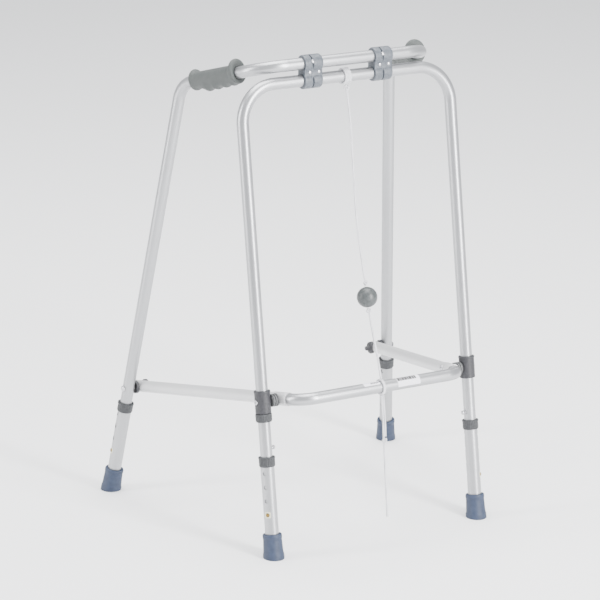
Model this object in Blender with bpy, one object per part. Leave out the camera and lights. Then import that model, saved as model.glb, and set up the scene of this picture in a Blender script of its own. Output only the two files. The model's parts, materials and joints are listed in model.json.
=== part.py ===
"""Folding walking frame: two aluminium tube frames hinged at the top, a U-shaped spreader between
them that slides up the front legs, four telescopic legs with rubber ferrules, and a pull cord.

Metres, +Z up, +X to the frame's left-right, the front legs at -Y. The origin is on the floor, in
the middle of the footprint. The frame is drawn open, standing, at its lowest height setting.
"""

import math

import bmesh
import bpy
from mathutils import Matrix, Vector

# ---- driving dimensions -------------------------------------------------------------------------
TUBE_R = 0.0111            # 22.2 mm (7/8 inch) frame, brace and bow tube
TUBE_WALL = 0.0014
EXT_R = 0.0127             # 25.4 mm (1 inch) telescopic lower leg, slides over the frame tube
EXT_BORE_R = 0.0116
GAP = 0.0003               # clearance between neighbouring pieces
FOOTPRINT = 0.4574         # from the front feet to the rear feet
FRONT_Y = -FOOTPRINT / 2
REAR_Y = FOOTPRINT / 2
FRONT_HALF = 0.2215        # centre plane to a front leg
REAR_FOOT_HALF = 0.3127    # centre plane to a rear foot
BAR_Y = FRONT_Y + 0.145    # both top bars
BAR_Z = 0.841              # front frame's top bar, the folding axis
UPPER_BAR_Z = 0.872        # rear frame's top bar
HANDLE_FRONT_HALF = 0.174  # where upper bar and handle would meet
HANDLE_REAR = Vector((0.2255, FRONT_Y + 0.3505, 0.807))  # where handle and rear leg would meet
FRONT_BEND_R = 0.068
HANDLE_FRONT_BEND_R = 0.060
HANDLE_REAR_BEND_R = 0.046

UPPER_TUBE_END = 0.058     # lower end of a frame leg, along the leg from the floor
EXT_END = 0.0083           # lower end of a telescopic leg, inside its ferrule
EXT_TOP = {"front": 0.181, "rear": 0.176}
HOLE_PITCH = 0.0254
BUTTON_AT = 0.081          # lowest hole, where the snap button sits
HOLE_COUNT = 4
HOLE_R = 0.0038
FRONT_BUTTON_AZIMUTH = 56  # degrees from straight ahead, outwards
REAR_BUTTON_AZIMUTH = 105

SLEEVE_AT = 0.2872         # along a front leg from the floor
SLEEVE_LENGTH = 0.0415
SLEEVE_R = 0.0145
SLEEVE_BORE_R = 0.0115
STOP_RING_LENGTH = 0.0155
STOP_RIVET_AT = 0.2015

PIVOT_Y = FRONT_Y + 0.4295  # spreader's rear pivots
PIVOT_Z = 0.208
BRACE_FRONT = Vector((0.1776, FRONT_Y + 0.028, 0.2865))
BRACE_PIVOT = Vector((0.2644, PIVOT_Y, PIVOT_Z))
BRACE_TAIL = 0.0115        # brace length behind its pivot
SOCKET_LENGTH = 0.044      # swaged front end of a brace, over the bow
SOCKET_R = 0.0124
BOW_BEND_R = 0.038
BOW_OVERLAP = 0.0365       # bow tube inside each brace
BOW_Y = FRONT_Y - 0.003
RIVET_AT = 0.030           # brace rivet, from the brace's front end
BOLT_R = 0.0030
LEG_CLEARANCE = 0.0016     # saddle washer to the splayed rear leg it turns beside

CLIP_MIDDLES = {"left": -0.0765, "right": 0.0720}
CLIP_WIDTH = 0.038
CLIP_R = 0.0157
CLIP_SHANK_R = 0.0018
CLIP_WEB = 0.0120          # half thickness of a clip between the bars
WEB_RIVETS = (-0.0077, 0.0108)  # along the bar, from the clip's middle
WEB_RIVET_Z = 0.8578
TUBE_RIVET = -0.0035
TUBE_RIVET_TILT = math.radians(22)

GRIP_START = 0.0654        # front face of a grip, from the handle's front corner
GRIP_LENGTH = 0.119

CORD_R = 0.0019
BALL_R = 0.0190
BALL_CENTRE = Vector((-0.003, FRONT_Y + 0.0506, 0.4485))
TIE_X = -0.003

SIDES = 16                 # facets round a tube
SMALL_SIDES = 10
UP = Vector((0, 0, 1))
TUBE_RIVET_FACING = Vector((0, -math.cos(TUBE_RIVET_TILT), math.sin(TUBE_RIVET_TILT)))
SIDE_NAMES = ((-1, "left"), (1, "right"))

for old in list(bpy.data.objects):
    bpy.data.objects.remove(old, do_unlink=True)


# ---- materials ----------------------------------------------------------------------------------
def material(name, colour, roughness, metallic=0.0):
    mat = bpy.data.materials.new(name)
    mat.use_nodes = True
    shader = mat.node_tree.nodes["Principled BSDF"]
    shader.inputs["Base Color"].default_value = (*colour, 1.0)
    shader.inputs["Roughness"].default_value = roughness
    shader.inputs["Metallic"].default_value = metallic
    return mat


MATERIALS = {
    "tube": ("anodised aluminium", (0.66, 0.67, 0.68), 0.35, 1.0),
    "brace": ("satin aluminium", (0.80, 0.80, 0.80), 0.45, 1.0),
    "steel": ("zinc plated steel", (0.55, 0.55, 0.56), 0.35, 1.0),
    "brass": ("brass", (0.75, 0.58, 0.25), 0.30, 1.0),
    "clip": ("blue-grey moulded plastic", (0.12, 0.14, 0.17), 0.45),
    "bush": ("dark grey plastic", (0.09, 0.09, 0.10), 0.50),
    "grip": ("grey moulded vinyl", (0.18, 0.20, 0.19), 0.60),
    "ferrule": ("slate blue rubber", (0.07, 0.11, 0.24), 0.65),
    "ball": ("grey plastic", (0.18, 0.20, 0.20), 0.45),
    "cord": ("white braided cord", (0.85, 0.85, 0.85), 0.80),
}


# ---- mesh helpers -------------------------------------------------------------------------------
def add_object(name, bm, look, matrix=None):
    """Turns a bmesh into a named object with outward faces and smooth shading."""
    bmesh.ops.recalc_face_normals(bm, faces=bm.faces)
    mesh = bpy.data.meshes.new(name)
    bm.to_mesh(mesh)
    bm.free()
    mesh.shade_smooth()
    mesh.set_sharp_from_angle(angle=math.radians(35))
    title, colour, roughness, *metallic = MATERIALS[look]
    mesh.materials.append(bpy.data.materials.get(title) or material(title, colour, roughness, *metallic))
    obj = bpy.data.objects.new(name, mesh)
    bpy.context.scene.collection.objects.link(obj)
    if matrix is not None:
        obj.matrix_world = matrix
    return obj


def cut(obj, cutter_bm, matrix=None):
    """Subtracts the closed bodies in cutter_bm, given in world space or under matrix."""
    bmesh.ops.recalc_face_normals(cutter_bm, faces=cutter_bm.faces)
    mesh = bpy.data.meshes.new(obj.name + "_cutter")
    cutter_bm.to_mesh(mesh)
    cutter_bm.free()
    cutter = bpy.data.objects.new(obj.name + "_cutter", mesh)
    bpy.context.scene.collection.objects.link(cutter)
    cutter.hide_render = True
    cutter.display_type = "WIRE"
    if matrix is not None:
        cutter.matrix_world = matrix
    boolean = obj.modifiers.new("cut", "BOOLEAN")
    boolean.operation = "DIFFERENCE"
    boolean.solver = "EXACT"
    boolean.object = cutter


def add_turned(bm, profile, sides=SIDES, matrix=Matrix()):
    """Adds a closed body turned about Z from (radius, height) points.

    A profile that starts and ends on the axis makes a solid; any other is closed into a ring.
    """
    rings = []
    for radius, height in profile:
        if radius < 1e-9:
            rings.append([bm.verts.new(matrix @ Vector((0, 0, height)))])
            continue
        turns = [2 * math.pi * i / sides for i in range(sides)]
        rings.append([bm.verts.new(matrix @ Vector((radius * math.cos(t), radius * math.sin(t), height)))
                      for t in turns])
    pairs = list(zip(rings, rings[1:]))
    if profile[0][0] > 1e-9:
        pairs.append((rings[-1], rings[0]))
    for low, high in pairs:
        for i in range(sides):
            j = (i + 1) % sides
            corners = [low[i % len(low)], low[j % len(low)], high[j % len(high)], high[i % len(high)]]
            bm.faces.new(list(dict.fromkeys(corners)))


def turned(profile, sides=SIDES, matrix=Matrix()):
    bm = bmesh.new()
    add_turned(bm, profile, sides, matrix)
    return bm


def along(direction, origin=Vector((0, 0, 0)), facing=None):
    """A placement whose Z runs along direction and whose X faces, as far as it can, facing."""
    z = Vector(direction).normalized()
    hint = Vector(facing) if facing is not None else Vector((0.3, 0.2, 1.0))
    x = (hint - hint.dot(z) * z).normalized()
    y = z.cross(x)
    return Matrix.Translation(origin) @ Matrix((x, y, z)).transposed().to_4x4()


def rod(origin, direction, start, end, radius, sides=SMALL_SIDES):
    """A plain solid pin from start to end along direction."""
    profile = [(0, start), (radius, start), (radius, end), (0, end)]
    return turned(profile, sides, along(direction, origin))


def add_rod(bm, origin, direction, start, end, radius, sides=SMALL_SIDES):
    profile = [(0, start), (radius, start), (radius, end), (0, end)]
    add_turned(bm, profile, sides, along(direction, origin))


def rounded_path(corners, radii, step=math.radians(16)):
    """The polyline through corners with each inner corner replaced by an arc of its radius."""
    points = [Vector(corners[0])]
    for before, corner, after, radius in zip(corners, corners[1:], corners[2:], radii):
        corner = Vector(corner)
        a = (Vector(before) - corner).normalized()
        b = (Vector(after) - corner).normalized()
        turn = math.pi - a.angle(b)
        setback = radius * math.tan(turn / 2)
        centre = corner + (a + b).normalized() * (radius / math.cos(turn / 2))
        start = corner + a * setback - centre
        axis = (a.cross(b)).normalized()
        count = max(2, math.ceil(turn / step))
        for i in range(count + 1):
            points.append(centre + Matrix.Rotation(-turn * i / count, 3, axis) @ start)
    points.append(Vector(corners[-1]))
    return points


def sweep(points, radius, bore=0.0, sides=SIDES):
    """A round tube along points; radius and bore may be a number or one value for each point."""
    radii = radius if isinstance(radius, (list, tuple)) else [radius] * len(points)
    bores = bore if isinstance(bore, (list, tuple)) else [bore] * len(points)
    tangents = []
    for i, point in enumerate(points):
        ahead = (points[min(i + 1, len(points) - 1)] - point)
        behind = (point - points[max(i - 1, 0)])
        tangents.append((ahead.normalized() + behind.normalized()).normalized())
    normal = tangents[0].orthogonal().normalized()
    outer, inner = [], []
    bm = bmesh.new()
    for point, tangent, r_out, r_in in zip(points, tangents, radii, bores):
        normal = (normal - normal.dot(tangent) * tangent).normalized()
        binormal = tangent.cross(normal)
        spokes = [normal * math.cos(t) + binormal * math.sin(t)
                  for t in (2 * math.pi * i / sides for i in range(sides))]
        outer.append([bm.verts.new(point + spoke * r_out) for spoke in spokes])
        if r_in:
            inner.append([bm.verts.new(point + spoke * r_in) for spoke in spokes])
    walls = list(zip(outer, outer[1:])) + list(zip(inner, inner[1:]))
    if inner:
        walls += [(outer[0], inner[0]), (outer[-1], inner[-1])]
    else:
        bm.faces.new(outer[0])
        bm.faces.new(outer[-1])
    for low, high in walls:
        for i in range(sides):
            j = (i + 1) % sides
            bm.faces.new([low[i], low[j], high[j], high[i]])
    return bm


def smooth_route(route, spacing):
    """Points at about the given spacing on a Catmull-Rom curve through the route's points."""
    knots = [Vector(p) for p in route]
    knots = [2 * knots[0] - knots[1]] + knots + [2 * knots[-1] - knots[-2]]
    points = []
    for p0, p1, p2, p3 in zip(knots, knots[1:], knots[2:], knots[3:]):
        count = max(1, round((p2 - p1).length / spacing))
        for i in range(count):
            t = i / count
            points.append(0.5 * (2 * p1 + (p2 - p0) * t + (2 * p0 - 5 * p1 + 4 * p2 - p3) * t ** 2
                                 + (3 * p1 - p0 - 3 * p2 + p3) * t ** 3))
    return points + [knots[-2]]


# ---- leg placements -----------------------------------------------------------------------------
def leg_line(end, side):
    """Floor point and upward direction of a leg; end is "front" or "rear"."""
    if end == "front":
        foot = Vector((side * FRONT_HALF, FRONT_Y, 0))
        top = Vector((side * FRONT_HALF, BAR_Y, BAR_Z))
    else:
        foot = Vector((side * REAR_FOOT_HALF, REAR_Y, 0))
        top = Vector((side * HANDLE_REAR.x, HANDLE_REAR.y, HANDLE_REAR.z))
    return foot, (top - foot).normalized()


def button_facing(end, side):
    azimuth = math.radians(FRONT_BUTTON_AZIMUTH if end == "front" else REAR_BUTTON_AZIMUTH)
    return Vector((side * math.sin(azimuth), -math.cos(azimuth), 0))


def leg_frame(end, side, height=0.0):
    """Placement on a leg's axis, Z up the leg and X towards its snap button."""
    foot, direction = leg_line(end, side)
    return along(direction, foot + direction * height, button_facing(end, side))


def cross_leg(end, side, height=0.0):
    """Placement on a leg's axis with Z pointing out through the snap button's hole."""
    return leg_frame(end, side, height) @ Matrix.Rotation(math.radians(90), 4, "Y")


# ---- the two frames -----------------------------------------------------------------------------
def frame_tubes():
    foot, direction = leg_line("front", 1)
    end = foot + direction * UPPER_TUBE_END
    top = Vector((FRONT_HALF, BAR_Y, BAR_Z))
    half = [end, top]
    corners = [Vector((-p.x, p.y, p.z)) for p in half] + half[::-1]
    path = rounded_path(corners, [FRONT_BEND_R] * 2)
    tube = add_object("front_frame_tube", sweep(path, TUBE_R, TUBE_R - TUBE_WALL), "tube")
    drill = bmesh.new()
    for side, _ in SIDE_NAMES:
        place = cross_leg("front", side, BUTTON_AT)
        add_turned(drill, [(0, -0.02), (HOLE_R, -0.02), (HOLE_R, 0.02), (0, 0.02)], SMALL_SIDES, place)
    cut(tube, drill)

    foot, direction = leg_line("rear", 1)
    end = foot + direction * UPPER_TUBE_END
    half = [end, HANDLE_REAR, Vector((HANDLE_FRONT_HALF, BAR_Y, UPPER_BAR_Z))]
    corners = [Vector((-p.x, p.y, p.z)) for p in half] + half[::-1]
    radii = [HANDLE_REAR_BEND_R, HANDLE_FRONT_BEND_R, HANDLE_FRONT_BEND_R, HANDLE_REAR_BEND_R]
    path = rounded_path(corners, radii)
    tube = add_object("rear_frame_tube", sweep(path, TUBE_R, TUBE_R - TUBE_WALL), "tube")
    drill = bmesh.new()
    for side, label in SIDE_NAMES:
        place = cross_leg("rear", side, BUTTON_AT)
        add_turned(drill, [(0, -0.02), (HOLE_R, -0.02), (HOLE_R, 0.02), (0, 0.02)], SMALL_SIDES, place)
        leg = Vector((side * BRACE_PIVOT.x, PIVOT_Y, PIVOT_Z))
        add_rod(drill, leg, (side, 0, 0), 0.006, 0.045, BOLT_R + GAP)
        add_rod(drill, tube_rivet(label), TUBE_RIVET_FACING, 0.005, 0.016, 0.0022)
    cut(tube, drill)


def tube_rivet(label):
    """Where the axis of a clip's upper rivet crosses the upper bar's axis."""
    return Vector((CLIP_MIDDLES[label] + TUBE_RIVET, BAR_Y, UPPER_BAR_Z))


def clips():
    """Two hinge clips, each a front and a rear shell round both bars, held by three rivets."""
    waist = math.acos(CLIP_WEB / CLIP_R)
    bore = TUBE_R + GAP
    for label, middle in CLIP_MIDDLES.items():
        for face, shell in ((-1, "front"), (1, "back")):
            outline = shell_outline(waist, bore)
            bm = bmesh.new()
            ends = []
            for x in (middle - CLIP_WIDTH / 2, middle + CLIP_WIDTH / 2):
                ends.append([bm.verts.new((x, BAR_Y + face * y, z)) for y, z in outline])
            bm.faces.new(ends[0])
            bm.faces.new(ends[1])
            for i in range(len(outline)):
                j = (i + 1) % len(outline)
                bm.faces.new([ends[0][i], ends[0][j], ends[1][j], ends[1][i]])
            obj = add_object(f"clip_{shell}_{label}", bm, "clip")
            drill = bmesh.new()
            for offset in WEB_RIVETS:
                spot = Vector((middle + offset, BAR_Y, WEB_RIVET_Z))
                add_rod(drill, spot, (0, face, 0), -0.001, 0.02, CLIP_SHANK_R + GAP)
            if face < 0:
                add_rod(drill, tube_rivet(label), TUBE_RIVET_FACING, 0.008, 0.02, CLIP_SHANK_R + GAP)
            cut(obj, drill)
        for i, offset in enumerate(WEB_RIVETS):
            origin = Vector((middle + offset, BAR_Y, WEB_RIVET_Z))
            head = CLIP_WEB + GAP
            profile = [(0, -head - 0.0016), (0.0026, -head - 0.0013), (0.0034, -head),
                       (CLIP_SHANK_R, -head), (CLIP_SHANK_R, head), (0.0034, head),
                       (0.0026, head + 0.0013), (0, head + 0.0016)]
            bm = turned(profile, SMALL_SIDES, along((0, -1, 0), origin))
            add_object(f"clip_web_rivet_{label}_{i + 1}", bm, "steel")
        head = CLIP_R + GAP
        profile = [(0, TUBE_R - 0.0045), (CLIP_SHANK_R, TUBE_R - 0.0045), (CLIP_SHANK_R, head),
                   (0.0034, head), (0.0026, head + 0.0013), (0, head + 0.0016)]
        bm = turned(profile, SMALL_SIDES, along(TUBE_RIVET_FACING, tube_rivet(label)))
        add_object(f"clip_tube_rivet_{label}", bm, "steel")


def shell_outline(waist, bore):
    """Half of a clip's cross-section, as (distance from the split plane, height) points."""
    split = GAP / 2
    outline = []
    steps = 8
    for i in range(steps + 1):
        t = math.radians(90) - (math.radians(90) + waist) * i / steps
        outline.append((max(split, CLIP_R * math.cos(t)), UPPER_BAR_Z + CLIP_R * math.sin(t)))
    for i in range(steps, -1, -1):
        t = math.radians(90) - (math.radians(90) + waist) * i / steps
        outline.append((max(split, CLIP_R * math.cos(t)), BAR_Z - CLIP_R * math.sin(t)))
    for i in range(steps + 1):
        t = math.radians(-90 + 180 * i / steps)
        outline.append((max(split, bore * math.cos(t)), BAR_Z + bore * math.sin(t)))
    for i in range(steps + 1):
        t = math.radians(-90 + 180 * i / steps)
        outline.append((max(split, bore * math.cos(t)), UPPER_BAR_Z + bore * math.sin(t)))
    return outline


def grips():
    """Moulded hand grips with a flange at each end and four finger hollows underneath."""
    stations = 13
    for side, label in SIDE_NAMES:
        front = Vector((side * HANDLE_FRONT_HALF, BAR_Y, UPPER_BAR_Z))
        rear = Vector((side * HANDLE_REAR.x, HANDLE_REAR.y, HANDLE_REAR.z))
        direction = (rear - front).normalized()
        place = along(direction, front + direction * GRIP_START, -UP)
        bm = bmesh.new()
        outer, inner = [], []
        for i in range(stations + 1):
            u = i / stations
            spokes = [2 * math.pi * k / SIDES for k in range(SIDES)]
            outer.append([bm.verts.new(place @ Vector((grip_radius(u, t) * math.cos(t),
                                                       grip_radius(u, t) * math.sin(t), u * GRIP_LENGTH)))
                          for t in spokes])
            inner.append([bm.verts.new(place @ Vector(((TUBE_R + GAP) * math.cos(t),
                                                       (TUBE_R + GAP) * math.sin(t), u * GRIP_LENGTH)))
                          for t in spokes])
        walls = list(zip(outer, outer[1:])) + list(zip(inner, inner[1:]))
        walls += [(outer[0], inner[0]), (outer[-1], inner[-1])]
        for low, high in walls:
            for k in range(SIDES):
                m = (k + 1) % SIDES
                bm.faces.new([low[k], low[m], high[m], high[k]])
        add_object(f"grip_{label}", bm, "grip")


def grip_radius(u, t):
    """Outer radius of a grip at u along it (0 front, 1 rear), t round it (0 underneath)."""
    under = max(0.0, math.cos(t)) ** 1.5
    above = max(0.0, -math.cos(t)) ** 1.5
    belly = math.sin(math.pi * min(1.0, 0.15 + 0.85 * u)) ** 0.5
    body = 0.0160 + under * belly * (0.0058 + 0.0022 * math.cos(2 * math.pi * 4.5 * (u - 0.06)))
    front_flange = math.exp(-(u / 0.075) ** 2)
    rear_flange = math.exp(-((1 - u) / 0.07) ** 2)
    front_r = 0.0200 + 0.0060 * above
    rear_r = 0.0182 + 0.0030 * above
    return body + (front_r - body) * front_flange + (rear_r - body) * rear_flange


# ---- telescopic legs ----------------------------------------------------------------------------
def legs():
    for end in ("front", "rear"):
        for side, label in SIDE_NAMES:
            leg = f"{end}_{label}"
            place = leg_frame(end, side)
            top = EXT_TOP[end]
            profile = [(EXT_BORE_R, EXT_END), (EXT_R, EXT_END), (EXT_R, top), (EXT_BORE_R, top)]
            tube = add_object(f"leg_extension_{leg}", turned(profile), "tube", place)
            drill = bmesh.new()
            for i in range(HOLE_COUNT):
                hole = cross_leg(end, side, BUTTON_AT + HOLE_PITCH * i)
                through = [(0, -0.02), (HOLE_R, -0.02), (HOLE_R, 0.02), (0, 0.02)]
                add_turned(drill, through, SMALL_SIDES, hole)
            cut(tube, drill)
            collar(leg, top, place)
            ferrule(leg, place)
            snap_button(leg, end, side)
            if end == "front":
                front_leg_fittings(side, label, place)


def collar(leg, ext_top, place):
    """Plastic bush on top of a telescopic leg: a skirt over it and a lip that closes on the tube."""
    skirt = EXT_R + GAP
    lip = TUBE_R + GAP
    bottom, seat, top = ext_top - 0.0125, ext_top + GAP, ext_top + 0.0060
    profile = [(skirt, bottom), (0.0140, bottom), (0.0147, bottom + 0.0015), (0.0147, top - 0.0025),
               (0.0132, top), (lip, top), (lip, seat), (skirt, seat)]
    add_object(f"collar_{leg}", turned(profile), "bush", place)


def ferrule(leg, place):
    """Tapered rubber foot, cut flat on the floor."""
    bore = EXT_R + GAP
    floor = EXT_END - GAP
    profile = [(0, -0.008), (0.0195, -0.008), (0.0195, 0.004), (0.0190, 0.009), (0.0182, 0.011),
               (0.0172, 0.036), (0.0178, 0.0375), (0.0176, 0.0425), (0.0160, 0.0445), (bore, 0.0445),
               (bore, floor), (0, floor)]
    foot = add_object(f"ferrule_{leg}", turned(profile), "ferrule", place)
    box = bmesh.new()
    bmesh.ops.create_cube(box, size=0.08, matrix=Matrix.Translation((0, 0, -0.04)))
    centre = place.translation
    cut(foot, box, Matrix.Translation((centre.x, centre.y, 0)))


def snap_button(leg, end, side):
    """Sprung locking button through the frame tube and the lowest hole, and its leaf spring."""
    r = HOLE_R - 0.0004
    tip = EXT_R + 0.0018
    profile = [(0, 0.0062), (0.0050, 0.0062), (0.0050, 0.0076), (r, 0.0076), (r, tip - 0.0012),
               (r * 0.7, tip - 0.0003), (0, tip)]
    add_object(f"snap_button_{leg}", turned(profile, SMALL_SIDES), "brass",
               cross_leg(end, side, BUTTON_AT))
    place = leg_frame(end, side, BUTTON_AT)
    outer = [(0.0058, -0.006), (0.0058, 0.014), (0.0030, 0.026), (0.0, 0.0295), (-0.0030, 0.026),
             (-0.0080, 0.014), (-0.0088, -0.004)]
    thickness = 0.0007
    inner = [(0.0051, -0.006), (0.0051, 0.0138), (0.0024, 0.0255), (0.0, 0.0285), (-0.0024, 0.0255),
             (-0.0073, 0.0138), (-0.0088 + thickness, -0.004)]
    outline = outer + inner[::-1]
    bm = bmesh.new()
    faces = []
    for y in (-0.0028, 0.0028):
        faces.append([bm.verts.new((x, y, z)) for x, z in outline])
    for ring in faces:
        for i in range(len(outer) - 1):
            n = len(outline)
            bm.faces.new([ring[i], ring[i + 1], ring[n - 2 - i], ring[n - 1 - i]])
    for i in range(len(outline)):
        j = (i + 1) % len(outline)
        bm.faces.new([faces[0][i], faces[0][j], faces[1][j], faces[1][i]])
    add_object(f"button_spring_{leg}", bm, "steel", place)


def front_leg_fittings(side, label, place):
    """Sliding sleeve with its screw, the fixed ring it lands on, and the domed stop rivet."""
    low, high = SLEEVE_AT - SLEEVE_LENGTH / 2, SLEEVE_AT + SLEEVE_LENGTH / 2
    c = 0.0012
    profile = [(SLEEVE_BORE_R, low), (SLEEVE_R - c, low), (SLEEVE_R, low + c), (SLEEVE_R, high - c),
               (SLEEVE_R - c, high), (SLEEVE_BORE_R, high)]
    sleeve = add_object(f"sleeve_{label}", turned(profile), "bush", place)
    centre = place @ Vector((0, 0, SLEEVE_AT))
    add_cup = bmesh.new()
    add_rod(add_cup, centre, (side, 0, 0), SLEEVE_R - 0.0011, SLEEVE_R + 0.01, 0.0052)
    cut(sleeve, add_cup)
    profile = [(0, SLEEVE_R - 0.0008), (0.0046, SLEEVE_R - 0.0008), (0.0046, SLEEVE_R + 0.0008),
               (0.0030, SLEEVE_R + 0.0018), (0, SLEEVE_R + 0.0020)]
    add_object(f"sleeve_screw_{label}", turned(profile, SMALL_SIDES, along((side, 0, 0), centre)), "steel")
    if label == "left":
        top = low - GAP
        bottom = top - STOP_RING_LENGTH
        profile = [(TUBE_R + GAP, bottom), (0.0138, bottom), (0.0151, bottom + 0.0018),
                   (0.0151, top - 0.0012), (0.0140, top), (TUBE_R + GAP, top)]
        add_object("stop_ring_left", turned(profile), "bush", place)
    centre = place @ Vector((0, 0, STOP_RIVET_AT))
    start = TUBE_R + GAP
    profile = [(0, start), (0.0042, start), (0.0042, start + 0.0012), (0.0024, start + 0.0014),
               (0.0024, start + 0.0034), (0.0040, start + 0.0038), (0.0036, start + 0.0062),
               (0, start + 0.0072)]
    bm = turned(profile, SMALL_SIDES, along((-side, 0, 0), centre))
    add_object(f"stop_rivet_{label}", bm, "steel")


# ---- spreader -----------------------------------------------------------------------------------
def brace_axis(side):
    front = Vector((side * BRACE_FRONT.x, BRACE_FRONT.y, BRACE_FRONT.z))
    rear = Vector((side * BRACE_PIVOT.x, BRACE_PIVOT.y, BRACE_PIVOT.z))
    return front, rear, (rear - front).normalized()


def spreader():
    """Two braces and the bow that joins them; they turn together about the rear pivots."""
    for side, label in SIDE_NAMES:
        front, rear, direction = brace_axis(side)
        end = rear + direction * BRACE_TAIL
        taper = 0.006
        stops = [0, SOCKET_LENGTH - taper, SOCKET_LENGTH]
        points = [front + direction * s for s in stops] + [end]
        outer = [SOCKET_R, SOCKET_R, TUBE_R, TUBE_R]
        socket_bore = TUBE_R + 2 * GAP
        inner = [socket_bore, socket_bore, TUBE_R - TUBE_WALL, TUBE_R - TUBE_WALL]
        brace = add_object(f"brace_tube_{label}", sweep(points, outer, inner), "brace")
        drill = bmesh.new()
        add_rod(drill, rear, (side, 0, 0), -0.03, 0.03, BOLT_R + GAP)
        rivet = front + direction * RIVET_AT
        add_rod(drill, rivet, rivet_facing(side), 0.0, 0.03, 0.0030)
        cut(brace, drill)
        rear_pivot(side, label, rear)
        front_hub(side, label, front, direction)
        shank = 0.0024
        profile = [(0, 0.0100), (shank, 0.0100), (shank, SOCKET_R + GAP), (0.0052, SOCKET_R + GAP),
                   (0.0050, SOCKET_R + 0.0016), (0.0036, SOCKET_R + 0.0026), (0, SOCKET_R + 0.0026)]
        bm = turned(profile, SMALL_SIDES, along(rivet_facing(side), rivet))
        add_object(f"brace_rivet_{label}", bm, "steel")
    front, _, direction = brace_axis(1)
    inside = front + direction * BOW_OVERLAP
    reach = (front.y - BOW_Y) / direction.y
    corner = front - direction * reach
    half = [inside, corner]
    corners = [Vector((-p.x, p.y, p.z)) for p in half] + half[::-1]
    path = rounded_path(corners, [BOW_BEND_R] * 2)
    bow = add_object("bow_tube", sweep(path, TUBE_R, TUBE_R - TUBE_WALL), "tube")
    drill = bmesh.new()
    for side, _ in SIDE_NAMES:
        front, _, direction = brace_axis(side)
        add_rod(drill, front + direction * RIVET_AT, rivet_facing(side), 0.0, 0.03, 0.0034)
    cut(bow, drill)


def rivet_facing(side):
    """A brace's rivet comes out square to its inner face, a little above the middle."""
    _, _, direction = brace_axis(side)
    inwards = Vector((-side * math.cos(math.radians(22)), 0, math.sin(math.radians(22))))
    return (inwards - inwards.dot(direction) * direction).normalized()


def rear_pivot(side, label, pivot):
    """Saddle washer between leg and brace, the bolt through both, and its flanged cap nut."""
    foot, direction = leg_line("rear", side)
    leg = foot + direction * ((PIVOT_Z - foot.z) / direction.z)
    spacing = abs(leg.x) - BRACE_PIVOT.x
    inner, outer = TUBE_R - 0.003, spacing - TUBE_R - LEG_CLEARANCE
    bore = BOLT_R + 2 * GAP
    out = along((side, 0, 0), pivot)
    _, _, brace_direction = brace_axis(side)
    profile = [(bore, inner), (0.0122, inner), (0.0122, outer), (bore, outer)]
    saddle = add_object(f"rear_saddle_{label}", turned(profile, SMALL_SIDES, out), "bush")
    cut(saddle, rod(pivot, brace_direction, -0.04, 0.04, TUBE_R + 2 * GAP, SIDES))
    head = spacing + TUBE_R + 3 * GAP
    tail = -TUBE_R - 0.0070
    profile = [(0, tail), (BOLT_R, tail), (BOLT_R, head), (0.0055, head), (0.0052, head + 0.0020),
               (0.0030, head + 0.0034), (0, head + 0.0036)]
    add_object(f"pivot_bolt_{label}", turned(profile, SMALL_SIDES, out), "steel")
    seat = TUBE_R
    cap = [(bore, seat - 0.003), (0.0118, seat - 0.003), (0.0118, seat + 0.0028), (0.0100, seat + 0.0038),
           (0.0046, seat + 0.0044), (0.0044, seat + 0.0115), (0.0028, seat + 0.0130), (0, seat + 0.0132)]
    bm = bmesh.new()
    add_cap(bm, cap, seat + 0.0080, bore, along((-side, 0, 0), pivot))
    nut = add_object(f"pivot_nut_{label}", bm, "bush")
    cut(nut, rod(pivot, brace_direction, -0.04, 0.04, TUBE_R + 2 * GAP, SIDES))


def add_cap(bm, outside, roof, bore, matrix):
    """A cap nut: the outside profile down to its seat, and a blind bore up to roof."""
    profile = [(0, roof), (bore, roof)] + outside
    add_turned(bm, profile, SMALL_SIDES, matrix)


def front_hub(side, label, front, direction):
    """Two flanged rings between a brace and its sleeve, on the axis the brace turns about."""
    foot, up = leg_line("front", side)
    centre = foot + up * SLEEVE_AT
    on_brace = front + direction * ((centre.y - front.y) / direction.y)
    near = abs(centre.x) - SLEEVE_R - 0.0006
    far = abs(on_brace.x) + SOCKET_R - 0.003
    origin = Vector((0, centre.y, on_brace.z))
    middle = (near + far) / 2
    profile = [(0, far), (0.0100, far), (0.0118, far + 0.001), (0.0118, middle - 0.0008),
               (0.0095, middle - 0.0004), (0.0095, middle + 0.0004), (0.0118, middle + 0.0008),
               (0.0118, near - 0.001), (0.0108, near), (0, near)]
    hub = add_object(f"front_hub_{label}", turned(profile, SMALL_SIDES, along((side, 0, 0), origin)), "bush")
    cut(hub, rod(front, direction, -0.02, 0.08, SOCKET_R + 2 * GAP, SIDES))


# ---- pull cord ----------------------------------------------------------------------------------
def cord_curve(name, route):
    """A plain cord along a route, as a curve with filled ends."""
    curve = bpy.data.curves.new(name, "CURVE")
    curve.dimensions = "3D"
    curve.bevel_depth = CORD_R
    curve.bevel_resolution = 2
    curve.use_fill_caps = True
    points = smooth_route(route, CORD_R * 8)
    spline = curve.splines.new("POLY")
    spline.points.add(len(points) - 1)
    for point, place in zip(spline.points, points):
        point.co = (*place, 1.0)
    title, colour, roughness, *metallic = MATERIALS["cord"]
    curve.materials.append(bpy.data.materials.get(title) or material(title, colour, roughness))
    obj = bpy.data.objects.new(name, curve)
    bpy.context.scene.collection.objects.link(obj)


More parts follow.
